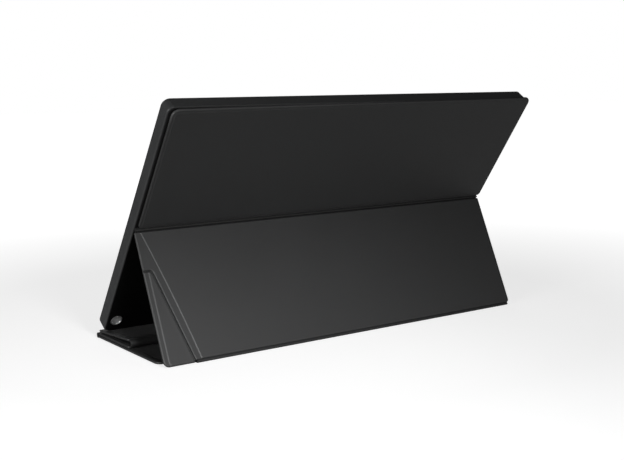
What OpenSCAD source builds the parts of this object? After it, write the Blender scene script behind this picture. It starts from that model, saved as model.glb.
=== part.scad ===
// Portable monitor standing in its folding cover.
// Millimetres, +Z up. The origin is on the floor, at mid width, under the screen's lower front edge.
// X runs across the screen, the screen faces -Y, and the leg of the stand is on the +Y side.

/* [Monitor] */
// Thickness of the monitor
monitor_t = 11; // [10.5:0.5:14]
// Radius of the monitor's corners seen from the front
corner_r = 6; // [4:0.5:9]
// Softening of the rear edge, across the face
rear_edge = 1.8; // [1:0.1:2.5]
// Lean of the screen back from upright, in degrees
lean = 35; // [31:1:42]
// Wall of the rear housing
housing_wall = 1.4; // [1:0.1:1.6]

/* [Display] */
// Width of the window in the bezel
view_w = 344; // [320:1:355]
// Height of the window in the bezel
view_h = 193.6; // [185:0.2:200]
// Border at each side of the window
side_border = 8; // [7:0.5:10]
// Border above the window
brow = 8; // [7:0.5:10]
// Border below the window
chin = 24.4; // [23:0.2:28]
// Thickness of the bezel
bezel_t = 1.2; // [1:0.1:1.4]
// Width of the panel's rim behind the bezel
lcd_rim = 3; // [2:0.5:4]
// Thickness of the liquid crystal panel
lcd_t = 1.2; // [1:0.1:1.4]
// Thickness of the backlight unit
backlight_t = 2.2; // [1.6:0.1:2.4]
// Thickness of the steel frame behind the backlight
frame_t = 0.6; // [0.4:0.1:0.8]

/* [Electronics] */
// Length of the control board
board_w = 118; // [90:1:140]
// Height of the control board
board_h = 52; // [46:1:60]
// Thickness of the control board
board_t = 1; // [0.8:0.1:1.2]
// Height of the board's standoffs
standoff_h = 1; // [0.6:0.1:1.4]
// Clearance between the control board and the housing's wall
board_side = 1.4; // [1:0.1:3]
// Height of the socket's middle above the monitor's lower edge
port_z = 44; // [38:1:60]
// Width of the socket's shell
port_w = 8.9; // [8.4:0.1:9.4]
// Thickness of the socket's shell
port_h = 3.2; // [3:0.1:3.4]
// Length of the socket's shell
port_l = 7.3; // [6.5:0.1:8]
// Diameter of a screw's shank
screw_d = 1.6; // [1.2:0.1:2]
// Diameter of a screw's head
screw_head_d = 3.6; // [2.8:0.1:4]
// Distance of the outer screws from the window's sides
screw_side = 52; // [48:1:70]
// Distance of the screws below the liquid crystal panel
screw_drop = 7.5; // [6:0.5:9]

/* [Pen hole] */
// Bore of the pen hole
pen_d = 8.6; // [7.6:0.1:9]
// Wall of the metal sleeve in the pen hole
pen_wall = 1; // [0.7:0.1:1.2]
// Distance of the pen hole from the monitor's side
pen_in = 9.4; // [8.4:0.1:11]
// Height of the pen hole above the monitor's lower edge
pen_z = 12; // [10:0.1:13]
// Depth of the flare at each end of the sleeve
pen_flare = 0.7; // [0.4:0.1:1]

/* [Buttons] */
// Distance of the power button from the monitor's side
power_in = 18; // [14:0.5:24]
// Diameter of the power button
power_d = 7; // [5:0.5:8]
// Spacing from the power button to the middle of the menu button
button_pitch = 17; // [15:0.5:22]
// Length of the menu button
menu_w = 13; // [10:0.5:15]
// Height of the menu button
menu_h = 4.6; // [4:0.2:6]
// Spacing from the middle of the menu button to the status light
light_pitch = 12; // [9:0.5:13]
// Diameter of the status light
light_d = 1.6; // [1.2:0.1:2]
// Height of the buttons above the monitor's lower edge
button_z = 10.5; // [9:0.5:13]
// How far the buttons stand out of the bezel
button_proud = 0.6; // [0.5:0.1:0.8]
// Clearance round a button
button_gap = 0.2; // [0.15:0.05:0.3]
// Travel of a button
button_travel = 0.5; // [0.3:0.1:0.5]

/* [Cover] */
// Thickness of each panel of the cover
panel_t = 2.2; // [2:0.1:2.8]
// Thickness of the leather on the outside
skin_t = 0.7; // [0.5:0.1:0.8]
// Thickness of the lining on the inside
lining_t = 0.5; // [0.4:0.1:0.6]
// Width of the pressed margin round a panel's board
margin_w = 2.4; // [2:0.1:3.5]
// Depth of the pressed margin below the panel's outside
margin_drop = 0.3; // [0.2:0.05:0.4]
// Thickness of the leather beside the edge of a board
board_side_t = 0.5; // [0.4:0.1:0.8]
// Width of the hem that is turned over to the inside
hem_w = 4.5; // [3.5:0.5:6]
// Radius of the panels' free corners
panel_r = 6; // [4:0.5:9]
// Radius of the corners beside the crease and the foot
fold_r = 3; // [2:0.5:5]
// Radius of the sharp corners beside the other folds
tight_r = 1; // [0.5:0.5:5]
// How much wider the leg and the base are than the monitor
cover_over = 0; // [-8:0.5:4]
// Clearance between the monitor and what it rests on
rest_gap = 0.25; // [0.2:0.05:0.4]
// Clearance between the monitor and the back panel
back_gap = 0.1; // [0.1:0.05:0.2]
// Free gap beside a fold, from the fold to a panel's edge
fold_gap = 1.2; // [1.1:0.1:2.4]
// Thickness of the soft leather in a fold
fold_t = 1.3; // [1:0.1:1.5]

/* [Back panel] */
// How much narrower the back panel is than the monitor
back_less = 2; // [0:0.5:10]
// How far the back panel sits towards -X
back_shift = 2.3; // [0:0.1:4]
// How far the back panel stops below the monitor's top
back_top = 0; // [0:0.5:4]

/* [Leg] */
// Length of the leg from the crease to the foot
leg_l = 106.1; // [103:0.1:110]
// Width of the soft foot between the base panel and the leg
foot_reach = 11; // [10.5:0.1:14]
// Radius of the corner flap's tip
tip_r = 3; // [2:0.5:4]
// Distance of the flap's tip circle from the leg's side
tip_in = 4.7; // [4:0.1:7]
// Height of the flap's tip circle above the foot
tip_z = 71; // [68:0.5:80]
// Slant of the flap's fold from upright, in degrees
flap_slant = 14.5; // [9:0.1:17]
// Width of the groove beside the corner flap
flap_groove = 1.2; // [1:0.1:1.6]
// Width of the soft edge of the flap along the leg's side
flap_margin = 4.2; // [3.6:0.1:6]
// How far the corner flap reaches below the leg's fold at the foot
flap_drop = 0.5; // [0:0.1:0.6]
// Width of the soft leather beside the leg's board, at the foot
soft_low = 32; // [30:0.1:35]
// Width of the soft leather beside the leg's board, at the crease
soft_high = 4.6; // [3.5:0.1:8]
// How far the side of the leg's board bows away from a straight line
soft_bow = 1.2; // [0:0.1:2]

/* [Base] */
// How far the base reaches in front of the screen's lower edge
base_front = 4.3; // [3:0.1:6]
// Length of the base panel
base_l = 109.6; // [107:0.1:111]
// Length of the middle panel
middle_l = 57; // [52:0.5:58]
// How much narrower the middle panel is than the base panel
middle_less = 1.6; // [0:0.2:4]
// Length of the end panel
end_l = 56; // [54:0.5:58]
// How much narrower the end panel is than the base panel
end_less = 2.4; // [0:0.2:5]
// Gap between the middle panel and the end panel at the rear fold
wedge_gap = 3.2; // [3:0.1:5]
// Gap between two panels that lie on each other
lay_gap = 0.1; // [0.05:0.05:0.2]

/* [Magnets] */
// Length of a magnet
magnet_w = 30; // [20:1:40]
// Width of a magnet
magnet_h = 9; // [6:0.5:12]
// Distance from a panel's edge to the middle of its magnets
magnet_edge = 18; // [14:1:30]

/* [Hidden] */

$fn = 48;
arc_steps = 5;
over = 1;
hair = 0.01;
seam = 0.02;
least_r = 0.4;

leather_colour = [0.12, 0.12, 0.125];
fold_colour = [0.09, 0.09, 0.095];
lining_colour = [0.2, 0.2, 0.21];
card_colour = [0.55, 0.5, 0.42];
housing_colour = [0.19, 0.19, 0.2];
bezel_colour = [0.07, 0.07, 0.075];
glass_colour = [0.03, 0.03, 0.04];
steel_colour = [0.7, 0.7, 0.72];
circuit_colour = [0.05, 0.3, 0.15];

monitor_w = view_w + 2 * side_border;
monitor_h = view_h + brow + chin;

// Panels of the cover
back_w = monitor_w - back_less;
leg_w = monitor_w + cover_over;
base_w = leg_w;
board_pocket_t = panel_t - skin_t - lining_t;
board_in = margin_w + board_side_t;
roll_r = panel_t / 2;
magnet_r = 1;

// Base stack: base panel on the floor, middle panel on it, end panel over both
front_r = panel_t + lay_gap / 2;
front_axis = [front_r - base_front, front_r];
front_tab = 0.3;
base_rear = front_axis[0] + base_l;
middle_z = panel_t + lay_gap;
middle_rear = front_axis[0] + middle_l;
wedge_r = wedge_gap / 2;
rear_axis = [middle_rear, middle_z + panel_t + wedge_r];
end_tilt = asin((wedge_gap - lay_gap) / end_l);

// The monitor's lower rear edge rests on the end panel
rear_bevel = rear_edge / 3;
seat_t = monitor_t - rear_bevel;
seat_y = rear_bevel * sin(lean) + seat_t * cos(lean);
seat_z = rear_axis[1] + (wedge_r + panel_t) / cos(end_tilt) + (seat_y - rear_axis[0]) * tan(end_tilt);
screen_z = seat_z + rest_gap + seat_t * sin(lean) - rear_bevel * cos(lean);

// The leg's fold on the floor follows from the base, and the crease is where the leg meets the back
back_out = monitor_t + back_gap + panel_t;
foot = [base_rear + foot_reach, roll_r];
back_low = [back_out * cos(lean), screen_z - back_out * sin(lean)];
foot_away = foot - back_low;
leg_span = norm([leg_l, roll_r]);
foot_out = foot_away[0] * cos(lean) - foot_away[1] * sin(lean);
foot_up = foot_away[0] * sin(lean) + foot_away[1] * cos(lean);
crease_s = foot_up + sqrt(leg_span * leg_span - foot_out * foot_out);
crease = back_low + crease_s * [sin(lean), cos(lean)];
leg_tilt = atan(roll_r / leg_l) + asin((foot[0] - crease[0]) / leg_span);
leg_top = leg_l - fold_gap;
leg_low = fold_gap;
fold_margin = 0.6;
spine_rear = foot[0] - fold_gap;

// Layers of the display, from the front
lcd_front = bezel_t;
backlight_front = lcd_front + lcd_t;
frame_front = backlight_front + backlight_t;
frame_back = frame_front + frame_t;
board_front = frame_back + standoff_h;
board_back = board_front + board_t;
housing_inside = monitor_t - housing_wall;
catch_t = 0.5;
display_r = 1;
window_r = 1.5;

// Screws between the steel frame and the housing
screw_reach = view_w / 2 - screw_side;
screw_inner = 0.36;
frame_screw_xs = [-1, -screw_inner, screw_inner, 1] * screw_reach;
frame_screw_z = chin - lcd_rim - screw_drop;
head_t = 0.8;
thread_l = 3.2;
thread_end = 0.2;
ear_half = 4;
ear_r = 2;
boss_r = 2.4;

// Pen hole, buttons and status light
pen_x = monitor_w / 2 - pen_in;
sleeve_r = pen_d / 2 + pen_wall;
power_x = power_in - monitor_w / 2;
menu_x = power_x + button_pitch;
light_x = menu_x + light_pitch;
light_r = light_d / 2;
flange_reach = 0.8;
flange_t = 0.6;
flange_gap = 0.05;
flange_front = bezel_t + flange_gap;
flange_back = flange_front + flange_t;
switch_gap = 0.1;
switch_t = 0.8;
switch_r = 1.2;
switch_front = flange_back + button_travel + switch_gap;
switch_board_t = 0.8;
switch_board_front = switch_front + switch_t;
switch_board_back = switch_board_front + switch_board_t;
switch_side = 4.5;
switch_rim = 2;
post_r = 1.4;
post_spots = [
  [power_x - power_d / 2 - switch_side / 2, button_z + power_d / 2],
  [light_x + light_r + switch_side / 2, button_z - power_d / 2]
];

// Control board, USB-C socket and display cable
port_lift = 0.1;
port_t = frame_back + port_lift + port_h / 2;
port_mouth = 0.4;
port_wall = 0.35;
port_back = 0.8;
port_gap = 0.2;
port_x = port_mouth - monitor_w / 2;
board_x = housing_wall + board_side - monitor_w / 2;
board_drop = 0.4;
board_low = port_z - board_h * board_drop;
board_top = board_low + board_h;
board_inset = 4;
board_r = 1;
notch_gap = 0.1;
standoff_r = 2;
cable_w = 22;
cable_t = 0.2;
cable_share = 0.62;
cable_grip = 5;
cable_slope = 4.8;
cable_reach = 12;
plug_side = 2;
plug_l = 2;
plug_t = 1.4;

// Lightening windows of the steel frame
frame_rib = 14;
frame_rim = 10;
frame_window_r = 6;

function arc(c, r, a0, a1) =
  [for (i = [0:arc_steps]) let (a = a0 + (a1 - a0) * i / arc_steps) [c[0] + r * cos(a), c[1] + r * sin(a)]];

// Rounded outline from x0 to x1 and z0 to z1, with one radius at each end
function outline(x0, x1, z0, z1, r0, r1) = concat(
  arc([x1 - r0, z0 + r0], r0, -90, 0), arc([x1 - r1, z1 - r1], r1, 0, 90),
  arc([x0 + r1, z1 - r1], r1, 90, 180), arc([x0 + r0, z0 + r0], r0, 180, 270));

function less(r, inset) = max(r - inset, least_r);

// Outline of a cover panel, moved in by inset on every side
function panel_outline(w, shift, z0, z1, r0, r1, inset) = outline(
  -w / 2 - shift + inset, w / 2 - shift - inset, z0 + inset, z1 - inset, less(r0, inset), less(r1, inset));

function monitor_outline(inset) = panel_outline(monitor_w, 0, 0, monitor_h, corner_r, corner_r, inset);
function back_outline(inset) =
  panel_outline(back_w, back_shift, crease_s + fold_gap, monitor_h - back_top, fold_r, panel_r, inset);
function leg_outline(inset) = panel_outline(leg_w, 0, leg_low, leg_top, fold_r, tight_r, inset);
function leg_face() = outline(margin_w - leg_w / 2, leg_w / 2 - margin_w,
  leg_low + fold_margin, leg_top - fold_margin, tight_r, tight_r);
function base_outline(inset) = panel_outline(base_w, 0, front_tab, base_l, tight_r, panel_r, inset);
function middle_outline(inset) =
  panel_outline(base_w - middle_less, 0, front_tab, middle_l, tight_r, tight_r, inset);
function end_outline(inset) = panel_outline(base_w - end_less, 0, -end_l, -seam, tight_r, tight_r, inset);

// Region of the leg's corner flap, grown by d: a slanted straight fold with a rounded tip
function flap_zone(d) = let (
    r = max(tip_r + d, least_r),
    k = tip_r + d - r,
    c = [leg_w / 2 - tip_in - k * (1 - sin(flap_slant)) / cos(flap_slant), tip_z + k],
    p = [c[0] - r * cos(flap_slant), c[1] + r * sin(flap_slant)]
  ) concat(
    [[p[0] - (p[1] + over) * tan(flap_slant), -over]],
    arc(c, r, 180 - flap_slant, 90),
    [[leg_w / 2 + over, c[1] + r], [leg_w / 2 + over, -over]]);
flap_foot_x = flap_zone(0)[0][0];

// Region of the leg's soft leather beside its board, grown by d
function soft_side(d) = [for (i = [0:arc_steps]) let (u = i / arc_steps) [
  leg_w / 2 - soft_low + (soft_low - soft_high) * u - 4 * soft_bow * u * (1 - u) - d, leg_top * u]];
function soft_zone(d) = let (side = soft_side(d)) concat(
  [[side[0][0], -over]], side, [
    [side[arc_steps][0], leg_top + over], [leg_w / 2 + over, leg_top + over], [leg_w / 2 + over, -over]
  ]);
flap_edge = 0.6;
flap_hem_share = 0.8;
flap_hem = hem_w * flap_hem_share;
groove_t = 0.8;
groove_lining_t = 0.4;
ridge_r = 1.1;
spine_x0 = fold_r - leg_w / 2;
spine_clear = 1;
spine_x1 = flap_foot_x - spine_clear;

// Points across Y and Z on the leg's outside and on the back panel's outside
function leg_point(y, z) = [
  foot[0] + (y + roll_r) * cos(leg_tilt) - z * sin(leg_tilt),
  foot[1] + (y + roll_r) * sin(leg_tilt) + z * cos(leg_tilt)
];
function back_point(y, z) = [
  z * sin(lean) + (back_out + y) * cos(lean),
  screen_z + z * cos(lean) - (back_out + y) * sin(lean)
];

// Middles of the magnets, across X and along the panel
function back_magnets() = [
  for (x = [-1, 1] * back_w / 3,
       z = [crease_s + fold_gap + magnet_edge, monitor_h - back_top - magnet_edge]) [x - back_shift, z]
];
function end_magnet_spots() = [for (x = [-1, 1] * base_w / 3) [x, -magnet_edge]];

// A plate with an outline across X and Z, from y0 to y1
module plate(points, y0, y1) {
  translate([0, y1, 0])
    rotate([90, 0, 0])
      linear_extrude(y1 - y0)
        polygon(points);
}

// A bar with an outline across Y and Z, from x0 to x1
module bar(points, x0, x1) {
  translate([x0, 0, 0])
    rotate([90, 0, 90])
      linear_extrude(x1 - x0)
        polygon(points);
}

// Places: each is upright in its own frame, with its outside towards +Y
module on_monitor() {
  translate([0, 0, screen_z])
    rotate([-lean, 0, 0])
      children();
}

module on_back() {
  on_monitor()
    translate([0, back_out, 0])
      children();
}

module on_leg() {
  translate([0, foot[0], foot[1]])
    rotate([leg_tilt, 0, 0])
      translate([0, roll_r, 0])
        children();
}

// The base panel lies with its outside on the floor, its height along +Y
module on_base() {
  translate([0, front_axis[0], 0])
    rotate([-90, 0, 0])
      children();
}

// The middle panel lies on the base panel, lining to lining
module on_middle() {
  translate([0, front_axis[0], middle_z + panel_t])
    rotate([90, 0, 180])
      children();
}

// The end panel slopes down to the front, leather to leather with the middle panel
module on_end() {
  translate([0, rear_axis[0], rear_axis[1]])
    rotate([end_tilt, 0, 0])
      translate([0, 0, wedge_r])
        rotate([-90, 0, 0])
          children();
}

// Layers of one panel, with its outside at y = 0 and its inside at y = -panel_t. The margin of the skin
// is pressed down round the board
module skin_layer(out, raised, pocket, window) {
  difference() {
    union() {
      plate(out, -panel_t, -margin_drop);
      plate(raised, -panel_t, 0);
    }
    plate(pocket, -skin_t - board_pocket_t, -skin_t);
    plate(window, -panel_t - over, -skin_t - board_pocket_t);
  }
}

module board_layer(pocket) {
  plate(pocket, -skin_t - board_pocket_t, -skin_t);
}

module lining_layer(window) {
  plate(window, -panel_t, -skin_t - board_pocket_t);
}

module magnets(spots, y0, y1) {
  for (p = spots)
    translate([p[0], 0, p[1]])
      plate(outline(-magnet_w / 2, magnet_w / 2, -magnet_h / 2, magnet_h / 2, magnet_r, magnet_r), y0, y1);
}

// A round rod along the panel's thickness
module rod(x, z, r, y0, y1) {
  translate([x, y1, z])
    rotate([90, 0, 0])
      cylinder(h = y1 - y0, r = r);
}

module housing_body() {
  hull() {
    plate(monitor_outline(0), bezel_t, monitor_t - rear_edge);
    plate(monitor_outline(rear_bevel), bezel_t + over, monitor_t - rear_bevel);
    plate(monitor_outline(rear_edge), bezel_t + over, monitor_t);
  }
}

// The socket's shape across Y and Z, grown by d, along X from x0 to x1
module socket_bar(d, x0, x1) {
  r = port_h / 2 + d;
  half = (port_w - port_h) / 2;
  bar(concat(arc([port_t, port_z + half], r, 0, 180), arc([port_t, port_z - half], r, 180, 360)), x0, x1);
}

module rear_housing() {
  color(housing_colour)
    on_monitor()
      difference() {
        union() {
          difference() {
            housing_body();
            plate(monitor_outline(housing_wall), 0, housing_inside);
          }
          for (x = frame_screw_xs)
            rod(x, frame_screw_z, boss_r, frame_back, housing_inside);
          for (p = post_spots)
            rod(p[0], p[1], post_r, switch_board_back, housing_inside);
        }
        rod(pen_x, pen_z, sleeve_r, 0, monitor_t + over);
        socket_bar(port_gap, -monitor_w / 2 - over, -monitor_w / 2 + housing_wall + over);
        for (x = frame_screw_xs)
          rod(x, frame_screw_z, screw_d / 2, frame_back - over, frame_back + thread_l);
      }
}

module menu_shape(d, y0, y1) {
  half_w = menu_w / 2 + d;
  half_h = menu_h / 2 + d;
  translate([menu_x, 0, button_z])
    plate(outline(-half_w, half_w, -half_h, half_h, half_h - hair, half_h - hair), y0, y1);
}

module front_bezel() {
  color(bezel_colour)
    on_monitor()
      difference() {
        plate(monitor_outline(0), 0, bezel_t);
        plate(outline(-view_w / 2, view_w / 2, chin, chin + view_h, window_r, window_r),
          -over, bezel_t + over);
        rod(pen_x, pen_z, sleeve_r, -over, bezel_t + over);
        rod(power_x, button_z, power_d / 2 + button_gap, -over, bezel_t + over);
        rod(light_x, button_z, light_r, -over, bezel_t + over);
        menu_shape(button_gap, -over, bezel_t + over);
      }
}

function display_outline(grow) = outline(
  -view_w / 2 - grow, view_w / 2 + grow, chin - grow, chin + view_h + grow, display_r, display_r);

module lcd_panel() {
  color(glass_colour)
    on_monitor()
      plate(display_outline(lcd_rim), lcd_front, backlight_front);
}

module backlight_unit() {
  color("white")
    on_monitor()
      plate(display_outline(lcd_rim), backlight_front, frame_front);
}

function board_corners() = [
  for (x = [board_x + board_inset, board_x + board_w - board_inset],
       z = [board_low + board_inset, board_top - board_inset]) [x, z]
];

// Steel plate with lightening windows, screw ears and standoffs for the control board
module panel_frame() {
  window_w = view_w / 3 - frame_rib;
  color(steel_colour)
    on_monitor()
      difference() {
        union() {
          plate(display_outline(lcd_rim), frame_front, frame_back);
          for (x = frame_screw_xs)
            plate(outline(x - ear_half, x + ear_half, frame_screw_z - ear_half, chin, ear_r, ear_r),
              frame_front, frame_back);
          for (p = board_corners())
            rod(p[0], p[1], standoff_r, frame_back, board_front);
        }
        for (i = [-1:1])
          plate(outline(i * view_w / 3 - window_w / 2, i * view_w / 3 + window_w / 2,
            board_top + frame_rib, chin + view_h - frame_rim, frame_window_r, frame_window_r),
            frame_front - over, frame_back + over);
        for (x = frame_screw_xs)
          rod(x, frame_screw_z, screw_d / 2, frame_front - over, frame_back + over);
      }
}

module frame_screws() {
  color(steel_colour)
    on_monitor()
      for (x = frame_screw_xs) {
        rod(x, frame_screw_z, screw_head_d / 2, frame_front - head_t, frame_front);
        rod(x, frame_screw_z, screw_d / 2, frame_front - head_t, frame_back + thread_l - thread_end);
      }
}

// Control board with a notch for the socket and its larger components, each with its share of the
// board's width and height, its two sides and its thickness
module control_board() {
  chips = [
    [0.25, 0.5, 14, 14, 1.2], [0.47, 0.58, 9, 9, 1], [0.68, 0.27, 16, 6, 1.4],
    [0.81, 0.65, 7, 7, 1.6], [0.15, 0.8, 6, 6, 1.6], [0.44, 0.19, 8, 5, 1.3]
  ];
  color(circuit_colour)
    on_monitor() {
      difference() {
        plate(outline(board_x, board_x + board_w, board_low, board_top, board_r, board_r),
          board_front, board_back);
        translate([board_x - over, board_front - over, port_z - port_w / 2 - notch_gap])
          cube([port_x + port_l + notch_gap + over - board_x, board_t + 2 * over, port_w + 2 * notch_gap]);
      }
      for (c = chips)
        translate([board_x + c[0] * board_w, board_back, board_low + c[1] * board_h])
          cube([c[2], c[4], c[3]]);
    }
}

module usb_c_socket() {
  tongue_t = 0.7;
  tongue_l = port_l / 2;
  tongue_w = port_w * 2 / 3;
  color(steel_colour)
    on_monitor() {
      difference() {
        socket_bar(0, port_x, port_x + port_l);
        socket_bar(-port_wall, port_x - over, port_x + port_l - port_back);
      }
      translate([port_x + port_l - port_back - tongue_l, port_t - tongue_t / 2, port_z - tongue_w / 2])
        cube([tongue_l + port_back / 2, tongue_t, tongue_w]);
    }
}

// Flat cable from the control board down to the frame and up to the display's connector
module display_cable() {
  run = [
    [board_back, board_top - cable_grip], [board_back, board_top + board_r],
    [frame_back, board_top + board_r + cable_slope], [frame_back, board_top + cable_reach]
  ];
  far = [for (i = [len(run) - 1:-1:0]) run[i] + [cable_t, 0]];
  x0 = board_x + board_w * cable_share - cable_w / 2;
  color("goldenrod")
    on_monitor() {
      bar(concat(run, far), x0, x0 + cable_w);
      translate([x0 - plug_side, frame_back, board_top + cable_reach - hair])
        cube([cable_w + 2 * plug_side, plug_t, plug_l]);
    }
}

module catch_plates() {
  color(steel_colour)
    on_monitor()
      magnets(back_magnets(), housing_inside - catch_t, housing_inside);
}

module pen_hole_sleeve() {
  color("silver")
    on_monitor()
      translate([pen_x, 0, pen_z])
        rotate([-90, 0, 0])
          rotate_extrude()
            polygon([
              [pen_d / 2, pen_flare], [pen_d / 2 + pen_flare, 0], [sleeve_r, 0],
              [sleeve_r, monitor_t], [pen_d / 2 + pen_flare, monitor_t], [pen_d / 2, monitor_t - pen_flare]
            ]);
}

module power_button() {
  color(bezel_colour)
    on_monitor() {
      rod(power_x, button_z, power_d / 2, -button_proud, flange_front);
      rod(power_x, button_z, power_d / 2 + flange_reach, flange_front, flange_back);
    }
}

module menu_button() {
  color(bezel_colour)
    on_monitor() {
      menu_shape(0, -button_proud, flange_front);
      menu_shape(flange_reach, flange_front, flange_back);
    }
}

// Small board with two switches and the lamp behind the buttons
module button_board() {
  half_h = power_d / 2 + switch_rim;
  color(circuit_colour)
    on_monitor() {
      plate(outline(power_x - power_d / 2 - switch_side, light_x + light_r + switch_side,
        button_z - half_h, button_z + half_h, board_r, board_r), switch_board_front, switch_board_back);
      for (x = [power_x, menu_x])
        rod(x, button_z, switch_r, switch_front, switch_board_front);
    }
}

module status_light() {
  color("white")
    on_monitor()
      rod(light_x, button_z, light_r, 0, switch_board_front);
}

module back_panel_skin() {
  color(leather_colour)
    on_back()
      skin_layer(back_outline(0), back_outline(margin_w), back_outline(board_in), back_outline(hem_w));
}

module back_panel_board() {
  color(card_colour)
    on_back()
      difference() {
        board_layer(back_outline(board_in));
        magnets(back_magnets(), -panel_t, 0);
      }
}

module back_panel_lining() {
  color(lining_colour)
    on_back()
      lining_layer(back_outline(hem_w));
}

module back_panel_magnets() {
  color(steel_colour)
    on_back()
      magnets(back_magnets(), -skin_t - board_pocket_t, -skin_t);
}

// Straight part of a fold between two panels with corner radius r
function fold_half(w, r) = w / 2 - r;

// Soft crease between the back panel and the leg: a rolled ridge between two grooves
module crease_strip() {
  recess = panel_t - fold_t;
  half = fold_half(leg_w, tight_r);
  outward = [sin(lean) + sin(leg_tilt), cos(lean) - cos(leg_tilt)];
  roll = crease - outward / norm(outward) * ridge_r / 2;
  color(fold_colour)
    union() {
      bar([
        back_point(-recess, crease_s + fold_gap - seam), leg_point(-recess, leg_top),
        leg_point(-panel_t, leg_top), back_point(-panel_t, crease_s + fold_gap - seam)
      ], -half, half);
      translate([-half, roll[0], roll[1]])
        rotate([0, 90, 0])
          cylinder(h = 2 * half, r = ridge_r);
    }
}

module leg_space(outline, side, y0, y1) {
  difference() {
    plate(outline, y0, y1);
    plate(soft_zone(side), y0 - over, y1 + over);
  }
}

module leg_skin() {
  color(leather_colour)
    on_leg()
      difference() {
        union() {
          plate(leg_outline(0), -panel_t, -margin_drop);
          leg_space(leg_face(), -board_side_t, -panel_t, 0);
        }
        plate(flap_zone(flap_groove / 2), -panel_t - over, over);
        leg_space(leg_outline(board_in), 0, -skin_t - board_pocket_t, -skin_t);
        leg_space(leg_outline(hem_w), hem_w / 2, -panel_t - over, -skin_t - board_pocket_t);
      }
}

module leg_board() {
  color(card_colour)
    on_leg()
      leg_space(leg_outline(board_in), 0, -skin_t - board_pocket_t, -skin_t);
}

module leg_lining() {
  color(lining_colour)
    on_leg()
      leg_space(leg_outline(hem_w), hem_w / 2, -panel_t, -skin_t - board_pocket_t);
}

// Space of one layer of the corner flap, moved in from the leg's side and from its other edges
module flap_space(side, inset, y0, y1) {
  intersection() {
    plate(panel_outline(leg_w, side - inset, -flap_drop, leg_top, fold_r, fold_r, inset), y0, y1);
    plate(flap_zone(-flap_groove / 2 - inset), y0 - over, y1 + over);
  }
}

module flap_board_space() {
  flap_space(flap_margin + board_side_t, flap_edge + board_side_t, -skin_t - board_pocket_t, -skin_t);
}

module corner_flap_skin() {
  color(leather_colour)
    on_leg()
      difference() {
        union() {
          flap_space(0, 0, -panel_t, -margin_drop);
          flap_space(flap_margin, flap_edge, -panel_t, 0);
        }
        flap_board_space();
        flap_space(flap_hem, flap_hem, -panel_t - over, -skin_t - board_pocket_t);
      }
}

module corner_flap_board() {
  color(card_colour)
    on_leg()
      flap_board_space();
}

module corner_flap_lining() {
  color(lining_colour)
    on_leg()
      flap_space(flap_hem, flap_hem, -panel_t, -skin_t - board_pocket_t);
}

// Thin leather in the slanted groove, on which the corner flap folds outwards
module corner_fold_strip() {
  low = -panel_t + groove_lining_t;
  color(fold_colour)
    on_leg()
      intersection() {
        plate(leg_outline(0), low, low + groove_t);
        difference() {
          plate(flap_zone(flap_groove / 2), low - over, low + groove_t + over);
          plate(flap_zone(-flap_groove / 2), low - 2 * over, low + groove_t + 2 * over);
        }
      }
}

// Soft fold at the foot, round the leg's lower edge to the spine
module foot_fold_strip() {
  low = -roll_r - fold_t / 2;
  color(fold_colour)
    union() {
      bar([
        leg_point(low, leg_low - seam), leg_point(low, 0),
        leg_point(low + fold_t, 0), leg_point(low + fold_t, leg_low - seam)
      ], spine_x0, spine_x1);
      bar([[spine_rear, 0], [foot[0], 0], [foot[0], fold_t], [spine_rear, fold_t]], spine_x0, spine_x1);
      translate([spine_x0, foot[0], foot[1]])
        rotate([0, 90, 0])
          cylinder(h = spine_x1 - spine_x0, r = roll_r);
    }
}

module spine_strip() {
  color(fold_colour)
    bar([[base_rear, 0], [spine_rear, 0], [spine_rear, fold_t], [base_rear, fold_t]], spine_x0, spine_x1);
}

module base_skin() {
  color(leather_colour)
    on_base()
      skin_layer(base_outline(0), base_outline(margin_w), base_outline(board_in), base_outline(hem_w));
}

module base_board() {
  color(card_colour)
    on_base()
      board_layer(base_outline(board_in));
}

module base_lining() {
  color(lining_colour)
    on_base()
      lining_layer(base_outline(hem_w));
}

// Rounded front edge, where the leather turns up and back over the base panel
module front_fold_strip() {
  half = fold_half(base_w - middle_less, tight_r);
  top = middle_z + panel_t;
  color(fold_colour)
    bar(concat([[front_axis[0] + front_tab, top]], arc(front_axis, front_r, 90, 270), [
      [front_axis[0] + front_tab, 0], [front_axis[0] + front_tab, panel_t],
      [front_axis[0], panel_t], [front_axis[0], middle_z], [front_axis[0] + front_tab, middle_z]
    ]), -half, half);
}

module middle_skin() {
  color(leather_colour)
    on_middle()
      skin_layer(middle_outline(0), middle_outline(margin_w),
        middle_outline(board_in), middle_outline(hem_w));
}

module middle_board() {
  color(card_colour)
    on_middle()
      board_layer(middle_outline(board_in));
}

module middle_lining() {
  color(lining_colour)
    on_middle()
      lining_layer(middle_outline(hem_w));
}

// Open fold at the rear of the base stack, which holds the end panel up
module rear_fold_strip() {
  half = fold_half(base_w - end_less, tight_r);
  slack = (panel_t - fold_t) / 2;
  color(fold_colour)
    bar(concat(
      arc(rear_axis, wedge_r + panel_t - slack, -90, 90 + end_tilt),
      arc(rear_axis, wedge_r + slack, 90 + end_tilt, -90)
    ), -half, half);
}

module end_skin() {
  color(leather_colour)
    on_end()
      skin_layer(end_outline(0), end_outline(margin_w), end_outline(board_in), end_outline(hem_w));
}

module end_board() {
  color(card_colour)
    on_end()
      difference() {
        board_layer(end_outline(board_in));
        magnets(end_magnet_spots(), -panel_t, 0);
      }
}

module end_lining() {
  color(lining_colour)
    on_end()
      lining_layer(end_outline(hem_w));
}

module end_magnets() {
  color(steel_colour)
    on_end()
      magnets(end_magnet_spots(), -skin_t - board_pocket_t, -skin_t);
}

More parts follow.
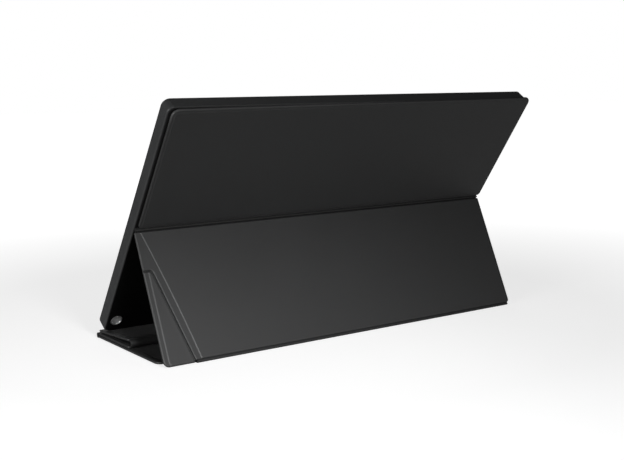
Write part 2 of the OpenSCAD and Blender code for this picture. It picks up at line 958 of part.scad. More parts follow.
rear_housing();
front_bezel();
lcd_panel();
backlight_unit();
panel_frame();
control_board();
button_board();
display_cable();
usb_c_socket();
catch_plates();
frame_screws();
pen_hole_sleeve();
power_button();
menu_button();
status_light();
back_panel_skin();
back_panel_board();
back_panel_lining();
back_panel_magnets();
crease_strip();
leg_skin();
leg_board();
leg_lining();
corner_flap_skin();
corner_flap_board();
corner_flap_lining();
corner_fold_strip();
foot_fold_strip();
spine_strip();
base_skin();
base_board();
base_lining();
front_fold_strip();
middle_skin();
middle_board();
middle_lining();
rear_fold_strip();
end_skin();
end_board();
end_lining();
end_magnets();
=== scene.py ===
"""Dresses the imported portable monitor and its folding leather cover, and lights it on a pale floor.

Sizes are written in millimetres and turned into metres where a mesh is made. Each cover panel and the
monitor has an upright frame of its own: x runs across, z runs up the panel and y points out of its
outside, as in the part's source.
"""
from __future__ import annotations

import logging
import math
from abc import ABC, abstractmethod
from dataclasses import dataclass
from enum import Enum
from typing import Any, Callable, Optional, Sequence, Union

import bmesh
import bpy
import numpy as np
from mathutils import Matrix, Vector
from mathutils.geometry import delaunay_2d_cdt

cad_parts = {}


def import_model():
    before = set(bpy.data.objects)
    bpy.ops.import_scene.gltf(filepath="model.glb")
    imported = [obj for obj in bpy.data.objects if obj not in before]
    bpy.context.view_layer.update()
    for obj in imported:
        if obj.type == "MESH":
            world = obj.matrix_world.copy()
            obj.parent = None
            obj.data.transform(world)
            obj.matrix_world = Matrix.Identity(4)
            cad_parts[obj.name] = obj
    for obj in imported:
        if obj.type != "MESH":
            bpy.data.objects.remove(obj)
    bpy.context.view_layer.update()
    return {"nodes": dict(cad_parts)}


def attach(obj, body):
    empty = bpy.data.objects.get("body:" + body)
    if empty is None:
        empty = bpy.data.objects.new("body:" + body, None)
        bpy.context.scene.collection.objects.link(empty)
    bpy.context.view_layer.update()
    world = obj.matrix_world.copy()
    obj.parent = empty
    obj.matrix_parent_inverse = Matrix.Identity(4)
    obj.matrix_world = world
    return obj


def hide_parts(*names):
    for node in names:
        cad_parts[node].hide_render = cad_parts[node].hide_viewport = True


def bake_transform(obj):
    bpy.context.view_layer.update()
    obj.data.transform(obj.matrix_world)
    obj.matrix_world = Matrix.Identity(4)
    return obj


LOG = logging.getLogger("monitor_cover")
MM = 0.001

# Corners closer than WELD are one and edges shorter than FLAT are dropped, in metres. Lines closer than
# MEET share their corners, in millimetres.
WELD = 1e-7
FLAT = 1e-8
MEET = 1e-6

IMAGE_W = 624

# Angles, in degrees, above which an edge is hard.
SHARP = 42.0
SHARP_MOULDED = 35.0
SHARP_FOLD = 50.0

Point = tuple[float, float]
Triple = tuple[float, float, float]
Loop = list[Point]
Height = Callable[[np.ndarray], np.ndarray]


# ---------------------------------------------------------------------------------------------------
# Sizes and places
# ---------------------------------------------------------------------------------------------------


@dataclass(frozen=True)
class Sizes:
    """The sizes that several pieces share, in millimetres and degrees, as the part's source gives them."""

    width: float = 360.0
    height: float = 226.0
    thick: float = 11.0
    corner: float = 6.0
    lean: float = 35.0
    screen_z: float = 13.0744
    panel: float = 2.2
    hem: float = 4.5
    margin: float = 2.4
    margin_drop: float = 0.3
    panel_r: float = 6.0
    fold_r: float = 3.0
    tight_r: float = 1.0
    fold_gap: float = 1.2
    fold_margin: float = 0.6
    fold_t: float = 1.3
    back_gap: float = 0.1
    back_w: float = 358.0
    back_shift: float = 2.3
    crease_s: float = 113.287
    leg_l: float = 106.1
    base_l: float = 109.6
    middle_l: float = 57.0
    middle_less: float = 1.6
    end_l: float = 56.0
    end_less: float = 2.4
    lay_gap: float = 0.1
    front_tab: float = 0.3
    leg_tilt: float = 24.3104
    end_tilt: float = 3.17335
    foot: Point = (118.55, 1.1)
    front_axis: Point = (-2.05, 2.25)
    rear_axis: Point = (54.95, 6.1)
    wedge_r: float = 1.6
    foot_x1: float = 152.581

    @property
    def back_out(self) -> float:
        """Distance of the back panel's outside from the screen's front."""
        return self.thick + self.back_gap + self.panel

    @property
    def roll(self) -> float:
        """Radius of the roll at the foot."""
        return self.panel / 2

    @property
    def leg_top(self) -> float:
        """Height of the leg panel's upper edge in its own frame."""
        return self.leg_l - self.fold_gap

    @property
    def back_low(self) -> float:
        """Height of the back panel's lower edge in its own frame."""
        return self.crease_s + self.fold_gap

    @property
    def middle_z(self) -> float:
        """Height of the middle panel's underside above the floor."""
        return self.panel + self.lay_gap

    @property
    def foot_x0(self) -> float:
        """End of the soft foot on the far side."""
        return self.fold_r - self.width / 2


S = Sizes()


class Place(Enum):
    """The upright frames of the monitor and of the cover's panels."""

    MONITOR = "monitor"
    BACK = "back panel"
    LEG = "leg"
    BASE = "base"
    MIDDLE = "middle panel"
    END = "end panel"

    @property
    def matrix(self) -> Matrix:
        """The frame's place in the world, in millimetres."""

        def turn(axis: str, degrees: float) -> Matrix:
            """Gives a turn about an axis."""
            return Matrix.Rotation(math.radians(degrees), 4, axis)

        def move(x: float, y: float, z: float) -> Matrix:
            """Gives a move."""
            return Matrix.Translation((x, y, z))

        monitor = move(0, 0, S.screen_z) @ turn("X", -S.lean)
        return {
            Place.MONITOR: monitor,
            Place.BACK: monitor @ move(0, S.back_out, 0),
            Place.LEG: move(0, *S.foot) @ turn("X", S.leg_tilt) @ move(0, S.roll, 0),
            Place.BASE: move(0, S.front_axis[0], 0) @ turn("X", -90),
            Place.MIDDLE: move(0, S.front_axis[0], S.middle_z + S.panel) @ turn("Z", 180) @ turn("X", 90),
            Place.END: move(0, *S.rear_axis) @ turn("X", S.end_tilt) @ move(0, 0, S.wedge_r) @ turn("X", -90),
        }[self]

    def section(self, y: float, z: float) -> Point:
        """Gives the world's (y, z) of a point in the frame's own section.

        Args:
            y: Distance out of the frame's outside, in millimetres.
            z: Height in the frame, in millimetres.

        Returns:
            The point across the world's Y and Z, in millimetres.
        """
        p = self.matrix @ Vector((0.0, y, z))
        return p.y, p.z

    def metres(self, x: float, y: float, z: float) -> Triple:
        """Gives the world place, in metres, of a point in the frame."""
        return tuple(self.matrix @ Vector((x, y, z)) * MM)


# ---------------------------------------------------------------------------------------------------
# Outlines and regions
# ---------------------------------------------------------------------------------------------------

# The least radii, in millimetres, of a corner and of a disc that are moved in.
LEAST_R = 0.4
LEAST_DISC_R = 0.05

# The steps of an arc and of a quarter round, and the count of waves that are summed.
CORNER_STEPS = 9
QUARTER_STEPS = 5
WAVE_COUNT = 6

# A length beyond every other one, and one that stands for nothing.
FAR_OFF = 1e9
NIL = 1e-12


def arc(centre: Point, r: float, a0: float, a1: float, steps: int = CORNER_STEPS) -> Loop:
    """Gives the points of an arc from angle a0 to angle a1, in degrees."""
    angles = [math.radians(a0 + (a1 - a0) * i / steps) for i in range(steps + 1)]
    return [(centre[0] + r * math.cos(a), centre[1] + r * math.sin(a)) for a in angles]


def outline(x0: float, x1: float, z0: float, z1: float, r0: float, r1: float) -> Loop:
    """Gives a rounded outline with one corner radius below and one above.

    Args:
        x0: Left end.
        x1: Right end.
        z0: Lower end.
        z1: Upper end.
        r0: Radius of the lower corners.
        r1: Radius of the upper corners.

    Returns:
        The closed line.
    """
    return (
        arc((x1 - r0, z0 + r0), r0, -90, 0)
        + arc((x1 - r1, z1 - r1), r1, 0, 90)
        + arc((x0 + r1, z1 - r1), r1, 90, 180)
        + arc((x0 + r0, z0 + r0), r0, 180, 270)
    )


def less(r: float, inset: float) -> float:
    """Gives the radius of a corner that is moved in by inset."""
    return max(r - inset, LEAST_R)


def quarter(r: float, steps: int = QUARTER_STEPS) -> Loop:
    """Gives a quarter round of radius r as pairs of the way along it and the drop."""
    angles = [math.radians(90 * k / steps) for k in range(steps + 1)]
    return [(r * math.sin(a), r * (1 - math.cos(a))) for a in angles]


def dense(loop: Loop, step: float = 9.0) -> Loop:
    """Adds points along a closed line's long stretches, so that none is longer than step.

    Args:
        loop: The line's corners.
        step: Greatest length between two points.

    Returns:
        The line with its added points.
    """
    points: Loop = []
    for a, b in zip(loop, loop[1:] + loop[:1]):
        n = max(1, math.ceil(math.hypot(b[0] - a[0], b[1] - a[1]) / step))
        points += [(a[0] + (b[0] - a[0]) * i / n, a[1] + (b[1] - a[1]) * i / n) for i in range(n)]
    return points


def signed_distance(points: np.ndarray, loop: Loop) -> np.ndarray:
    """Gives each point's distance from a closed line.

    Args:
        points: The points, one row each.
        loop: The line's corners.

    Returns:
        The distances, above 0 inside the line and below 0 outside.
    """
    a = np.array(loop, float)
    b = np.roll(a, -1, axis=0)
    ab = b - a
    squared = np.maximum((ab**2).sum(1), NIL)
    best = np.full(len(points), FAR_OFF)
    inside = np.zeros(len(points), bool)
    for i in range(len(a)):
        ap = points - a[i]
        t = np.clip(ap @ ab[i] / squared[i], 0, 1)
        best = np.minimum(best, np.hypot(*(ap - t[:, None] * ab[i]).T))
        crosses = (a[i, 1] > points[:, 1]) != (b[i, 1] > points[:, 1])
        if abs(ab[i, 1]) > NIL:
            x = a[i, 0] + ab[i, 0] * (points[:, 1] - a[i, 1]) / ab[i, 1]
            inside ^= crosses & (points[:, 0] < x)
    return np.where(inside, best, -best)


class Region(ABC):
    """A flat region that can be moved in or out by a distance."""

    @abstractmethod
    def inset(self, d: float) -> Loop:
        """Gives the region's outer line, moved in by d."""

    def lines(self, d: float) -> list[Loop]:
        """Gives all of the region's edge lines, moved in by d."""
        return [self.inset(d)]

    def depth(self, points: np.ndarray) -> np.ndarray:
        """Gives each point's distance from the region's edge, above 0 inside."""
        return signed_distance(points, self.inset(0.0))

    def moved(self, by: float) -> Moved:
        """Gives this region moved in by a distance."""
        return Moved(self, by)

    def without(self, other: Region) -> Joined:
        """Gives this region less another one."""
        return Joined(self, other, -1)

    def within(self, other: Region) -> Joined:
        """Gives what this region shares with another one."""
        return Joined(self, other, 1)


@dataclass(frozen=True)
class Rounded(Region):
    """A rectangle with one corner radius below and one above."""

    x0: float
    x1: float
    z0: float
    z1: float
    r0: float
    r1: float

    def inset(self, d: float) -> Loop:
        """Gives the outline, moved in by d.

        Args:
            d: Distance in millimetres, above 0 inwards.

        Returns:
            The closed line.
        """
        return outline(
            self.x0 + d, self.x1 - d, self.z0 + d, self.z1 - d, less(self.r0, d), less(self.r1, d)
        )


@dataclass(frozen=True)
class Disc(Region):
    """A round region."""

    x: float
    z: float
    r: float
    steps: int = 48

    def inset(self, d: float) -> Loop:
        """Gives the circle, moved in by d."""
        last = 360 - 360 / self.steps
        return arc((self.x, self.z), max(self.r - d, LEAST_DISC_R), 0, last, self.steps - 1)


@dataclass(frozen=True)
class FlapZone(Region):
    """The corner flap's zone: a slanted straight fold with a rounded tip."""

    tip_r: float = 3.0
    tip_in: float = 4.7
    tip_z: float = 71.0
    slant: float = 14.5
    far: float = 12.0

    @property
    def fold(self) -> tuple[Point, Point]:
        """Two points of the straight fold: at the tip's circle and at the foot."""
        a = math.radians(self.slant)
        x = S.width / 2 - self.tip_in - self.tip_r * math.cos(a)
        z = self.tip_z + self.tip_r * math.sin(a)
        return (x, z), (x - z * math.tan(a), 0.0)

    def inset(self, d: float) -> Loop:
        """Gives the zone's line, moved in by d.

        Args:
            d: Distance in millimetres, above 0 inwards.

        Returns:
            The closed line.
        """
        a = math.radians(self.slant)
        r = max(self.tip_r - d, LEAST_R)
        k = self.tip_r - d - r
        c = (S.width / 2 - self.tip_in - k * (1 - math.sin(a)) / math.cos(a), self.tip_z + k)
        p = (c[0] - r * math.cos(a), c[1] + r * math.sin(a))
        low = (p[0] - (p[1] + self.far) * math.tan(a), -self.far)
        right = S.width / 2 + self.far
        loop = [low] + arc(c, r, 180 - self.slant, 90) + [(right, c[1] + r), (right, -self.far)]
        return loop[::-1]


@dataclass(frozen=True)
class SoftZone(Region):
    """The zone of soft leather beside the leg's board, with a bowed side."""

    low: float = 32.0
    high: float = 4.6
    bow: float = 1.2
    steps: int = 12
    far: float = 12.0

    def inset(self, d: float) -> Loop:
        """Gives the zone's line, moved in by d.

        Args:
            d: Distance in millimetres, above 0 inwards.

        Returns:
            The closed line.
        """
        side: Loop = []
        for i in range(self.steps + 1):
            u = i / self.steps
            x = S.width / 2 - self.low + (self.low - self.high) * u - 4 * self.bow * u * (1 - u)
            side.append((x + d, S.leg_top * u))
        right, high = S.width / 2 + self.far, S.leg_top + self.far
        run = (side[-1][0] - side[-2][0]) / (side[-1][1] - side[-2][1])
        ends = (side[0][0] - run * self.far, -self.far), (side[-1][0] + run * self.far, high)
        return ([ends[0]] + side + [ends[1], (right, high), (right, -self.far)])[::-1]


@dataclass(frozen=True)
class Moved(Region):
    """A region moved in by a fixed distance."""

    source: Region
    by: float

    def inset(self, d: float) -> Loop:
        """Gives the outer line, moved in by d more."""
        return self.source.inset(d + self.by)

    def lines(self, d: float) -> list[Loop]:
        """Gives the edge lines, moved in by d more."""
        return self.source.lines(d + self.by)

    def depth(self, points: np.ndarray) -> np.ndarray:
        """Gives each point's distance from the moved edge, above 0 inside."""
        return self.source.depth(points) - self.by


@dataclass(frozen=True)
class Joined(Region):
    """Two regions joined: the second one's share is kept where sign is 1 and cut away where it is -1."""

    first: Region
    second: Region
    sign: int

    def inset(self, d: float) -> Loop:
        """Gives the first region's outer line, moved in by d."""
        return self.first.inset(d)

    def lines(self, d: float) -> list[Loop]:
        """Gives the edge lines of both regions, moved in by d."""
        return self.first.lines(d) + self.second.lines(self.sign * d)

    def depth(self, points: np.ndarray) -> np.ndarray:
        """Gives each point's distance from the nearer edge, above 0 inside the joined region."""
        return np.minimum(self.first.depth(points), self.sign * self.second.depth(points))


def smooth(t: np.ndarray) -> np.ndarray:
    """Gives a soft step from 0 to 1."""
    t = np.clip(t, 0, 1)
    return t * t * (3 - 2 * t)


def rolled(depth: np.ndarray, r: float) -> np.ndarray:
    """Gives how far a round edge of radius r drops at a distance from the edge."""
    x = r - np.clip(depth, 0, r)
    return np.sqrt(np.maximum(r * r - x * x, 0)) - r


def waves(points: np.ndarray, seed: int, size: float, reach: float) -> np.ndarray:
    """Gives the faint unevenness of leather over a board.

    Args:
        points: The points, one row each.
        seed: Seed of the pattern.
        size: Mean length of a wave, in millimetres.
        reach: Greatest height, in millimetres.

    Returns:
        The height at each point.
    """
    rng = np.random.default_rng(seed)
    total = np.zeros(len(points))
    for _ in range(WAVE_COUNT):
        angle, phase = rng.uniform(0, 2 * math.pi, 2)
        k = 2 * math.pi / (size * rng.uniform(0.6, 1.6))
        total += np.sin((points[:, 0] * math.cos(angle) + points[:, 1] * math.sin(angle)) * k + phase)
    return total * reach / WAVE_COUNT


# ---------------------------------------------------------------------------------------------------
# Meshes
# ---------------------------------------------------------------------------------------------------


@dataclass
class Shape:
    """Corners in a frame's own millimetres, the faces between them, and each corner's share of wear and
    painted highlight.
    """

    points: list[Triple]
    faces: list[tuple[int, ...]]
    wear_and_highlight: Optional[list[float]] = None

    def build(
        self, name: str, place: Place, material: bpy.types.Material, sharp: float = SHARP
    ) -> bpy.types.Object:
        """Makes the shape an object whose place is in its mesh.

        Args:
            name: Name of the piece.
            place: Frame in which the shape's corners are given.
            material: Finish of the piece.
            sharp: Angle above which an edge is hard, in degrees.

        Returns:
            The new object.
        """
        to_world = Matrix.Scale(MM, 4) @ place.matrix
        mesh = bpy.data.meshes.new(name)
        mesh.from_pydata([to_world @ Vector(p) for p in self.points], [], self.faces)
        if self.wear_and_highlight:
            values = mesh.attributes.new("wear_and_highlight", "FLOAT", "POINT")
            values.data.foreach_set("value", np.array(self.wear_and_highlight, np.float32))
        return finish_object(name, mesh, material, sharp)


def evaluated(piece: bpy.types.Object) -> bpy.types.Mesh:
    """Gives a plain mesh of an object with its modifiers worked in, and takes the modifiers off.

    Args:
        piece: The object.

    Returns:
        The plain mesh.
    """
    mesh = bpy.data.meshes.new_from_object(piece.evaluated_get(bpy.context.evaluated_depsgraph_get()))
    piece.modifiers.clear()
    return mesh


def finish_object(
    name: str, mesh: bpy.types.Mesh, material: bpy.types.Material, sharp: float = SHARP
) -> bpy.types.Object:
    """Closes a mesh's seams, points its faces outwards, evens its shading and makes it an object.

    Args:
        name: Name of the piece.
        mesh: The mesh, with its place in its corners.
        material: Finish of the piece.
        sharp: Angle above which an edge is hard, in degrees.

    Returns:
        The new object.
    """
    work = bmesh.new()
    work.from_mesh(mesh)
    bmesh.ops.remove_doubles(work, verts=work.verts, dist=WELD)
    bmesh.ops.dissolve_degenerate(work, edges=work.edges, dist=FLAT)
    bmesh.ops.recalc_face_normals(work, faces=work.faces)
    work.to_mesh(mesh)
    work.free()
    mesh.materials.clear()
    mesh.materials.append(material)
    mesh.shade_smooth()
    mesh.set_sharp_from_angle(angle=math.radians(sharp))
    piece = bpy.data.objects.new(name, mesh)
    bpy.context.scene.collection.objects.link(piece)
    even = piece.modifiers.new("even", "WEIGHTED_NORMAL")
    even.keep_sharp = True
    piece.data = evaluated(piece)
    piece.data.name = name
    return piece


def carved(
    name: str, body: Shape, cuts: Sequence[Shape], place: Place, material: bpy.types.Material
) -> bpy.types.Object:
    """Cuts closed shapes out of a closed body.

    Args:
        name: Name of the piece.
        body: The body that is cut.
        cuts: The shapes that are taken away.
        place: Frame in which the shapes' corners are given.
        material: Finish of the piece.

    Returns:
        The new object.
    """
    piece = body.build(name + "_body", place, material)
    for i, cut in enumerate(cuts):
        tool = cut.build(f"{name}_cut_{i}", place, material)
        step = piece.modifiers.new("cut", "BOOLEAN")
        step.operation = "DIFFERENCE"
        step.solver = "EXACT"
        step.object = tool
        piece.data = evaluated(piece)
        bpy.data.objects.remove(tool)
    mesh = piece.data.copy()
    bpy.data.objects.remove(piece)
    return finish_object(name, mesh, material, SHARP_MOULDED)


def lofted(rings: Sequence[tuple[float, Loop]]) -> Shape:
    """Joins closed lines of equal count, each at its own y, into a closed solid.

    Args:
        rings: The lines of x and z points and their y.

    Returns:
        The solid.
    """
    n = len(rings[0][1])
    points = [(x, y, z) for y, loop in rings for x, z in loop]
    last = (len(rings) - 1) * n
    faces: list[tuple[int, ...]] = [tuple(reversed(range(n))), tuple(range(last, last + n))]
    for k in range(len(rings) - 1):
        for i in range(n):
            j = (i + 1) % n
            faces.append((k * n + i, k * n + j, (k + 1) * n + j, (k + 1) * n + i))
    return Shape(points, faces)


def prism(loop: Loop, y0: float, y1: float) -> Shape:
    """Gives a closed straight solid over a line, from y0 to y1."""
    return lofted([(y0, loop), (y1, loop)])


def slab(
    region: Region,
    lines: Sequence[Loop],
    top: Height,
    bottom: Height,
    grid: float = 0.0,
    wear_and_highlight: Optional[Height] = None,
) -> Shape:
    """Makes a closed solid between two height fields over a region.

    Args:
        region: The region that the solid covers.
        lines: Closed lines along which either surface bends.
        top: Height of the surface towards +y at each point.
        bottom: Height of the surface towards -y at each point.
        grid: Spacing of the added points inside the region, or 0 for none.
        wear_and_highlight: Share of wear and painted highlight at each point, from 0 to 1.

    Returns:
        The solid in the frame's own millimetres.
    """
    corners: list[Vector] = []
    edges: list[tuple[int, int]] = []
    for loop in list(lines) + region.lines(0.0):
        loop = dense(loop)
        start = len(corners)
        corners += [Vector(p) for p in loop]
        edges += [(start + i, start + (i + 1) % len(loop)) for i in range(len(loop))]
    if grid:
        edge = np.array(region.inset(0.0))
        low, high = edge.min(0), edge.max(0)
        spots = [
            (x, z)
            for x in np.arange(low[0] + grid, high[0] - grid / 2, grid)
            for z in np.arange(low[1] + grid, high[1] - grid / 2, grid)
        ]
        clear = np.full(len(spots), FAR_OFF)
        for loop in lines:
            clear = np.minimum(clear, np.abs(signed_distance(np.array(spots), loop)))
        corners += [Vector(p) for p, c in zip(spots, clear) if c > grid / 3]
    flat, _, triangles = delaunay_2d_cdt(corners, edges, [], 0, MEET)[:3]
    plan = np.array([tuple(v) for v in flat])
    middles = np.array([plan[list(t)].mean(0) for t in triangles])
    keep = region.depth(middles) > 0
    triangles = [tuple(t) for t, k in zip(triangles, keep) if k]
    seen: dict[tuple[int, int], int] = {}
    for t in triangles:
        for i in range(3):
            key = (t[i], t[(i + 1) % 3])
            seen[key] = seen.get(key, 0) + 1
    rim = [(a, b) for a, b in seen if (b, a) not in seen]
    n = len(plan)
    y_top, y_bottom = top(plan), bottom(plan)
    points = [(p[0], y, p[1]) for heights in (y_top, y_bottom) for p, y in zip(plan, heights)]
    faces: list[tuple[int, ...]] = [(t[2], t[1], t[0]) for t in triangles]
    faces += [(t[0] + n, t[1] + n, t[2] + n) for t in triangles]
    faces += [(a, b, b + n, a + n) for a, b in rim]
    used = sorted({i for f in faces for i in f})
    index = {old: new for new, old in enumerate(used)}
    wear = np.tile(wear_and_highlight(plan), 2) if wear_and_highlight else np.zeros(2 * n)
    return Shape(
        [points[i] for i in used],
        [tuple(index[i] for i in f) for f in faces],
        [float(wear[i]) for i in used],
    )


def spun(profile: Sequence[Point], x: float, z: float, steps: int = 64) -> Shape:
    """Turns a closed profile of (radius, y) points round an axis along y.

    Args:
        profile: Corners of the profile.
        x: Place of the axis across.
        z: Height of the axis.
        steps: Number of steps round the axis.

    Returns:
        The turned shape.
    """
    points = [
        (x + r * math.cos(2 * math.pi * k / steps), y, z + r * math.sin(2 * math.pi * k / steps))
        for k in range(steps)
        for r, y in profile
    ]
    m = len(profile)
    faces = [
        (k * m + i, k * m + (i + 1) % m, (k + 1) % steps * m + (i + 1) % m, (k + 1) % steps * m + i)
        for k in range(steps)
        for i in range(m)
    ]
    return Shape(points, faces)


# ---------------------------------------------------------------------------------------------------
# Shader tools
# ---------------------------------------------------------------------------------------------------

Value = Union["Wire", float, int]


class Wire:
    """A shader socket that can be used in plain arithmetic."""

    def __init__(self, tree: bpy.types.NodeTree, socket: bpy.types.NodeSocket) -> None:
        """Wraps an output socket of a node tree."""
        self.tree = tree
        self.socket = socket

    def _math(self, operation: str, *values: Value) -> Wire:
        """Adds a Math node for an operation on values or wires.

        Args:
            operation: The node's operation.
            *values: Numbers or wires for its inputs.

        Returns:
            The wire of the result.
        """
        node = self.tree.nodes.new("ShaderNodeMath")
        node.operation = operation
        for i, value in enumerate(values):
            if isinstance(value, Wire):
                self.tree.links.new(value.socket, node.inputs[i])
            else:
                node.inputs[i].default_value = value
        return Wire(self.tree, node.outputs[0])

    def __add__(self, other: Value) -> Wire:
        """Adds."""
        return self._math("ADD", self, other)

    __radd__ = __add__

    def __sub__(self, other: Value) -> Wire:
        """Subtracts."""
        return self._math("SUBTRACT", self, other)

    def __rsub__(self, other: Value) -> Wire:
        """Subtracts this from another value."""
        return self._math("SUBTRACT", other, self)

    def __mul__(self, other: Value) -> Wire:
        """Multiplies."""
        return self._math("MULTIPLY", self, other)

    __rmul__ = __mul__

    def clamped(self) -> Wire:
        """Keeps the value from 0 to 1."""
        return self._math("MINIMUM", self._math("MAXIMUM", self, 0.0), 1.0)


class Graph:
    """Adds nodes to a shader tree or a geometry tree."""

    def __init__(self, tree: bpy.types.NodeTree) -> None:
        """Keeps the tree."""
        self.tree = tree

    def node(
        self, kind: str, settings: Optional[dict[str, Any]] = None, output: Union[str, int] = 0, **inputs: Any
    ) -> Wire:
        """Adds a node.

        Args:
            kind: The node's type, where a name without Node is a shader node.
            settings: The node's own settings.
            output: Name or number of the output to return.
            **inputs: Values or wires for its sockets, with _ for a blank in a socket's name.

        Returns:
            The chosen output.
        """
        node = self.tree.nodes.new(kind if "Node" in kind else "ShaderNode" + kind)
        for key, value in (settings or {}).items():
            setattr(node, key, value)
        for key, value in inputs.items():
            socket = next(s for s in node.inputs if s.name == key.replace("_", " ") and s.enabled)
            self.feed(socket, value)
        return Wire(self.tree, node.outputs[output])

    def feed(self, socket: bpy.types.NodeSocket, value: Any) -> None:
        """Links a wire to a socket, or sets the socket to a value.

        Args:
            socket: The socket that is fed.
            value: A wire or a plain value.
        """
        if isinstance(value, Wire):
            self.tree.links.new(value.socket, socket)
        else:
            socket.default_value = value


class Painter(Graph):
    """Builds the node tree of one material."""

    def __init__(self, name: str) -> None:
        """Starts a material with an empty tree and a Principled shader.

        Args:
            name: Name of the material.
        """
        self.material = bpy.data.materials.new(name)
        self.material.use_nodes = True
        super().__init__(self.material.node_tree)
        self.tree.nodes.clear()
        self.shader = self.tree.nodes.new("ShaderNodeBsdfPrincipled")
        out = self.tree.nodes.new("ShaderNodeOutputMaterial")
        self.tree.links.new(self.shader.outputs[0], out.inputs["Surface"])

    def place(self, scale: Triple = (1, 1, 1)) -> Wire:
        """Gives the surface's object coordinates, stretched by scale."""
        return self.node("Mapping", Vector=self.node("TexCoord", output="Object"), Scale=scale)

    def noise(self, spot: Wire, scale: float, detail: float = 3.0, rough: float = 0.5) -> Wire:
        """Gives a noise value from 0 to 1 at a scale in cycles per metre."""
        return self.node("TexNoise", Vector=spot, Scale=scale, Detail=detail, Roughness=rough)

    def blend(self, share: Value, first: Any, second: Any) -> Wire:
        """Mixes two colours by a share from 0 to 1.

        Args:
            share: Share of the second colour.
            first: Colour or wire at 0.
            second: Colour or wire at 1.

        Returns:
            The wire of the mixed colour.
        """
        node = self.tree.nodes.new("ShaderNodeMix")
        node.data_type = "RGBA"
        sockets = {s.identifier: s for s in node.inputs}
        for key, value in (("Factor_Float", share), ("A_Color", first), ("B_Color", second)):
            self.feed(sockets[key], value)
        return Wire(self.tree, next(s for s in node.outputs if s.identifier == "Result_Color"))

    def bump(self, height: Wire, strength: float, distance: float) -> Wire:
        """Gives a normal bumped by a height."""
        return self.node("Bump", Height=height, Strength=strength, Distance=distance)

    def set(self, **inputs: Any) -> None:
        """Sets or links the shader's own sockets."""
        for key, value in inputs.items():
            self.feed(self.shader.inputs[key.replace("_", " ")], value)


class Modeller(Graph):
    """Builds a geometry tree with named inputs and runs it on a mesh."""

    def __init__(self, name: str, **inputs: str) -> None:
        """Starts a tree.

        Args:
            name: Name of the tree.
            **inputs: Name of each input and its socket type, without the NodeSocket prefix.
        """
        super().__init__(bpy.data.node_groups.new(name, "GeometryNodeTree"))
        face = self.tree.interface
        face.new_socket("Geometry", in_out="INPUT", socket_type="NodeSocketGeometry")
        self.keys = {
            key: face.new_socket(key, in_out="INPUT", socket_type="NodeSocket" + kind).identifier
            for key, kind in inputs.items()
        }
        face.new_socket("Geometry", in_out="OUTPUT", socket_type="NodeSocketGeometry")
        self.source = self.tree.nodes.new("NodeGroupInput")

    def given(self, name: str) -> Wire:
        """Gives the wire of a named input."""
        return Wire(self.tree, self.source.outputs[name])

    def close(self, shape: Wire) -> None:
        """Ends the tree: real corners and faces, in the given material.

        Args:
            shape: The wire of the finished geometry.
        """
        real = self.node("GeometryNodeRealizeInstances", Geometry=shape)
        done = self.node("GeometryNodeSetMaterial", Geometry=real, Material=self.given("Material"))
        out = self.tree.nodes.new("NodeGroupOutput")
        self.tree.links.new(done.socket, out.inputs[0])

    def run(self, mesh: bpy.types.Mesh, **values: Any) -> bpy.types.Mesh:
        """Runs the tree on a mesh.

        Args:
            mesh: The mesh that goes in.
            **values: Values of the named inputs.

        Returns:
            The mesh that comes out, plain.
        """
        piece = bpy.data.objects.new("run", mesh)
        bpy.context.scene.collection.objects.link(piece)
        step = piece.modifiers.new("tree", "NODES")
        step.node_group = self.tree
        for key, value in values.items():
            step[self.keys[key]] = value
        result = evaluated(piece)
        bpy.data.objects.remove(piece)
        return result


def grey(value: float, warmth: float = 0.0) -> tuple[float, float, float, float]:
    """Gives a near-neutral colour; warmth above 0 is redder and below 0 bluer."""
    return value * (1 + warmth), value, value * (1 - warmth), 1.0


# ---------------------------------------------------------------------------------------------------
# Finishes
# ---------------------------------------------------------------------------------------------------


@dataclass(frozen=True)
class Finish(ABC):
    """A finish of the object. Scales are in cycles per metre and depths in metres."""

    name: str

    @abstractmethod
    def paint(self, p: Painter) -> None:
        """Lays the nodes.

        Args:
            p: Painter of the new material.
        """

    def make(self) -> bpy.types.Material:
        """Builds the material.

        Returns:
            The new material.
        """
        p = Painter(self.name)
        self.paint(p)
        return p.material


@dataclass(frozen=True)
class Leather(Finish):
    """Black coated leather with a fine pebbled grain, shinier where hands and edges polish it and painted
    lighter there as a highlight.
    """

    tone: float = 0.024
    rough: float = 0.5
    grain: float = 0.12
    creases: float = 0.0
    pebble_scale: float = 1250.0
    pore_scale: float = 3800.0
    cloud_scale: float = 16.0
    patch_scale: float = 75.0
    crease_scale: float = 900.0
    crease_stretch: Triple = (0.18, 1.0, 1.0)
    grain_depth: float = 0.00012
    # How many times lighter the painted highlight on worn edges and ridges is.
    highlight_gain: float = 3.0

    def paint(self, p: Painter) -> None:
        """Lays the nodes.

        Args:
            p: Painter of the new material.
        """
        spot = p.place()
        cells = p.node(
            "TexVoronoi", {"feature": "SMOOTH_F1"}, Vector=spot, Scale=self.pebble_scale, Smoothness=0.6
        )
        pores = p.noise(spot, self.pore_scale, 2.0)
        cloud = p.noise(spot, self.cloud_scale, 4.0, 0.6)
        patch = p.noise(spot, self.patch_scale, 3.0)
        wear_and_highlight = p.node("Attribute", {"attribute_name": "wear_and_highlight"}, output="Fac")
        height = cells * -1.0 + pores * 0.35
        if self.creases:
            folds = p.noise(p.place(self.crease_stretch), self.crease_scale, 3.0, 0.6)
            height = height + folds * self.creases
        share = (cloud * 0.7 + patch * 0.3 - 0.25).clamped()
        base = p.blend(share, grey(self.tone * 0.86, -0.01), grey(self.tone * 1.14, -0.02))
        # Along worn edges and ridges the colour is painted several times lighter: a painted highlight as well
        # as wear.
        base = p.blend((wear_and_highlight * 0.8).clamped(), base, grey(self.tone * self.highlight_gain, -0.01))
        p.set(
            Base_Color=base,
            Roughness=(self.rough + cells * 0.10 + cloud * 0.10 - wear_and_highlight * 0.12 - 0.07).clamped(),
            Normal=p.bump(height, self.grain, self.grain_depth),
            Specular_IOR_Level=0.5,
        )


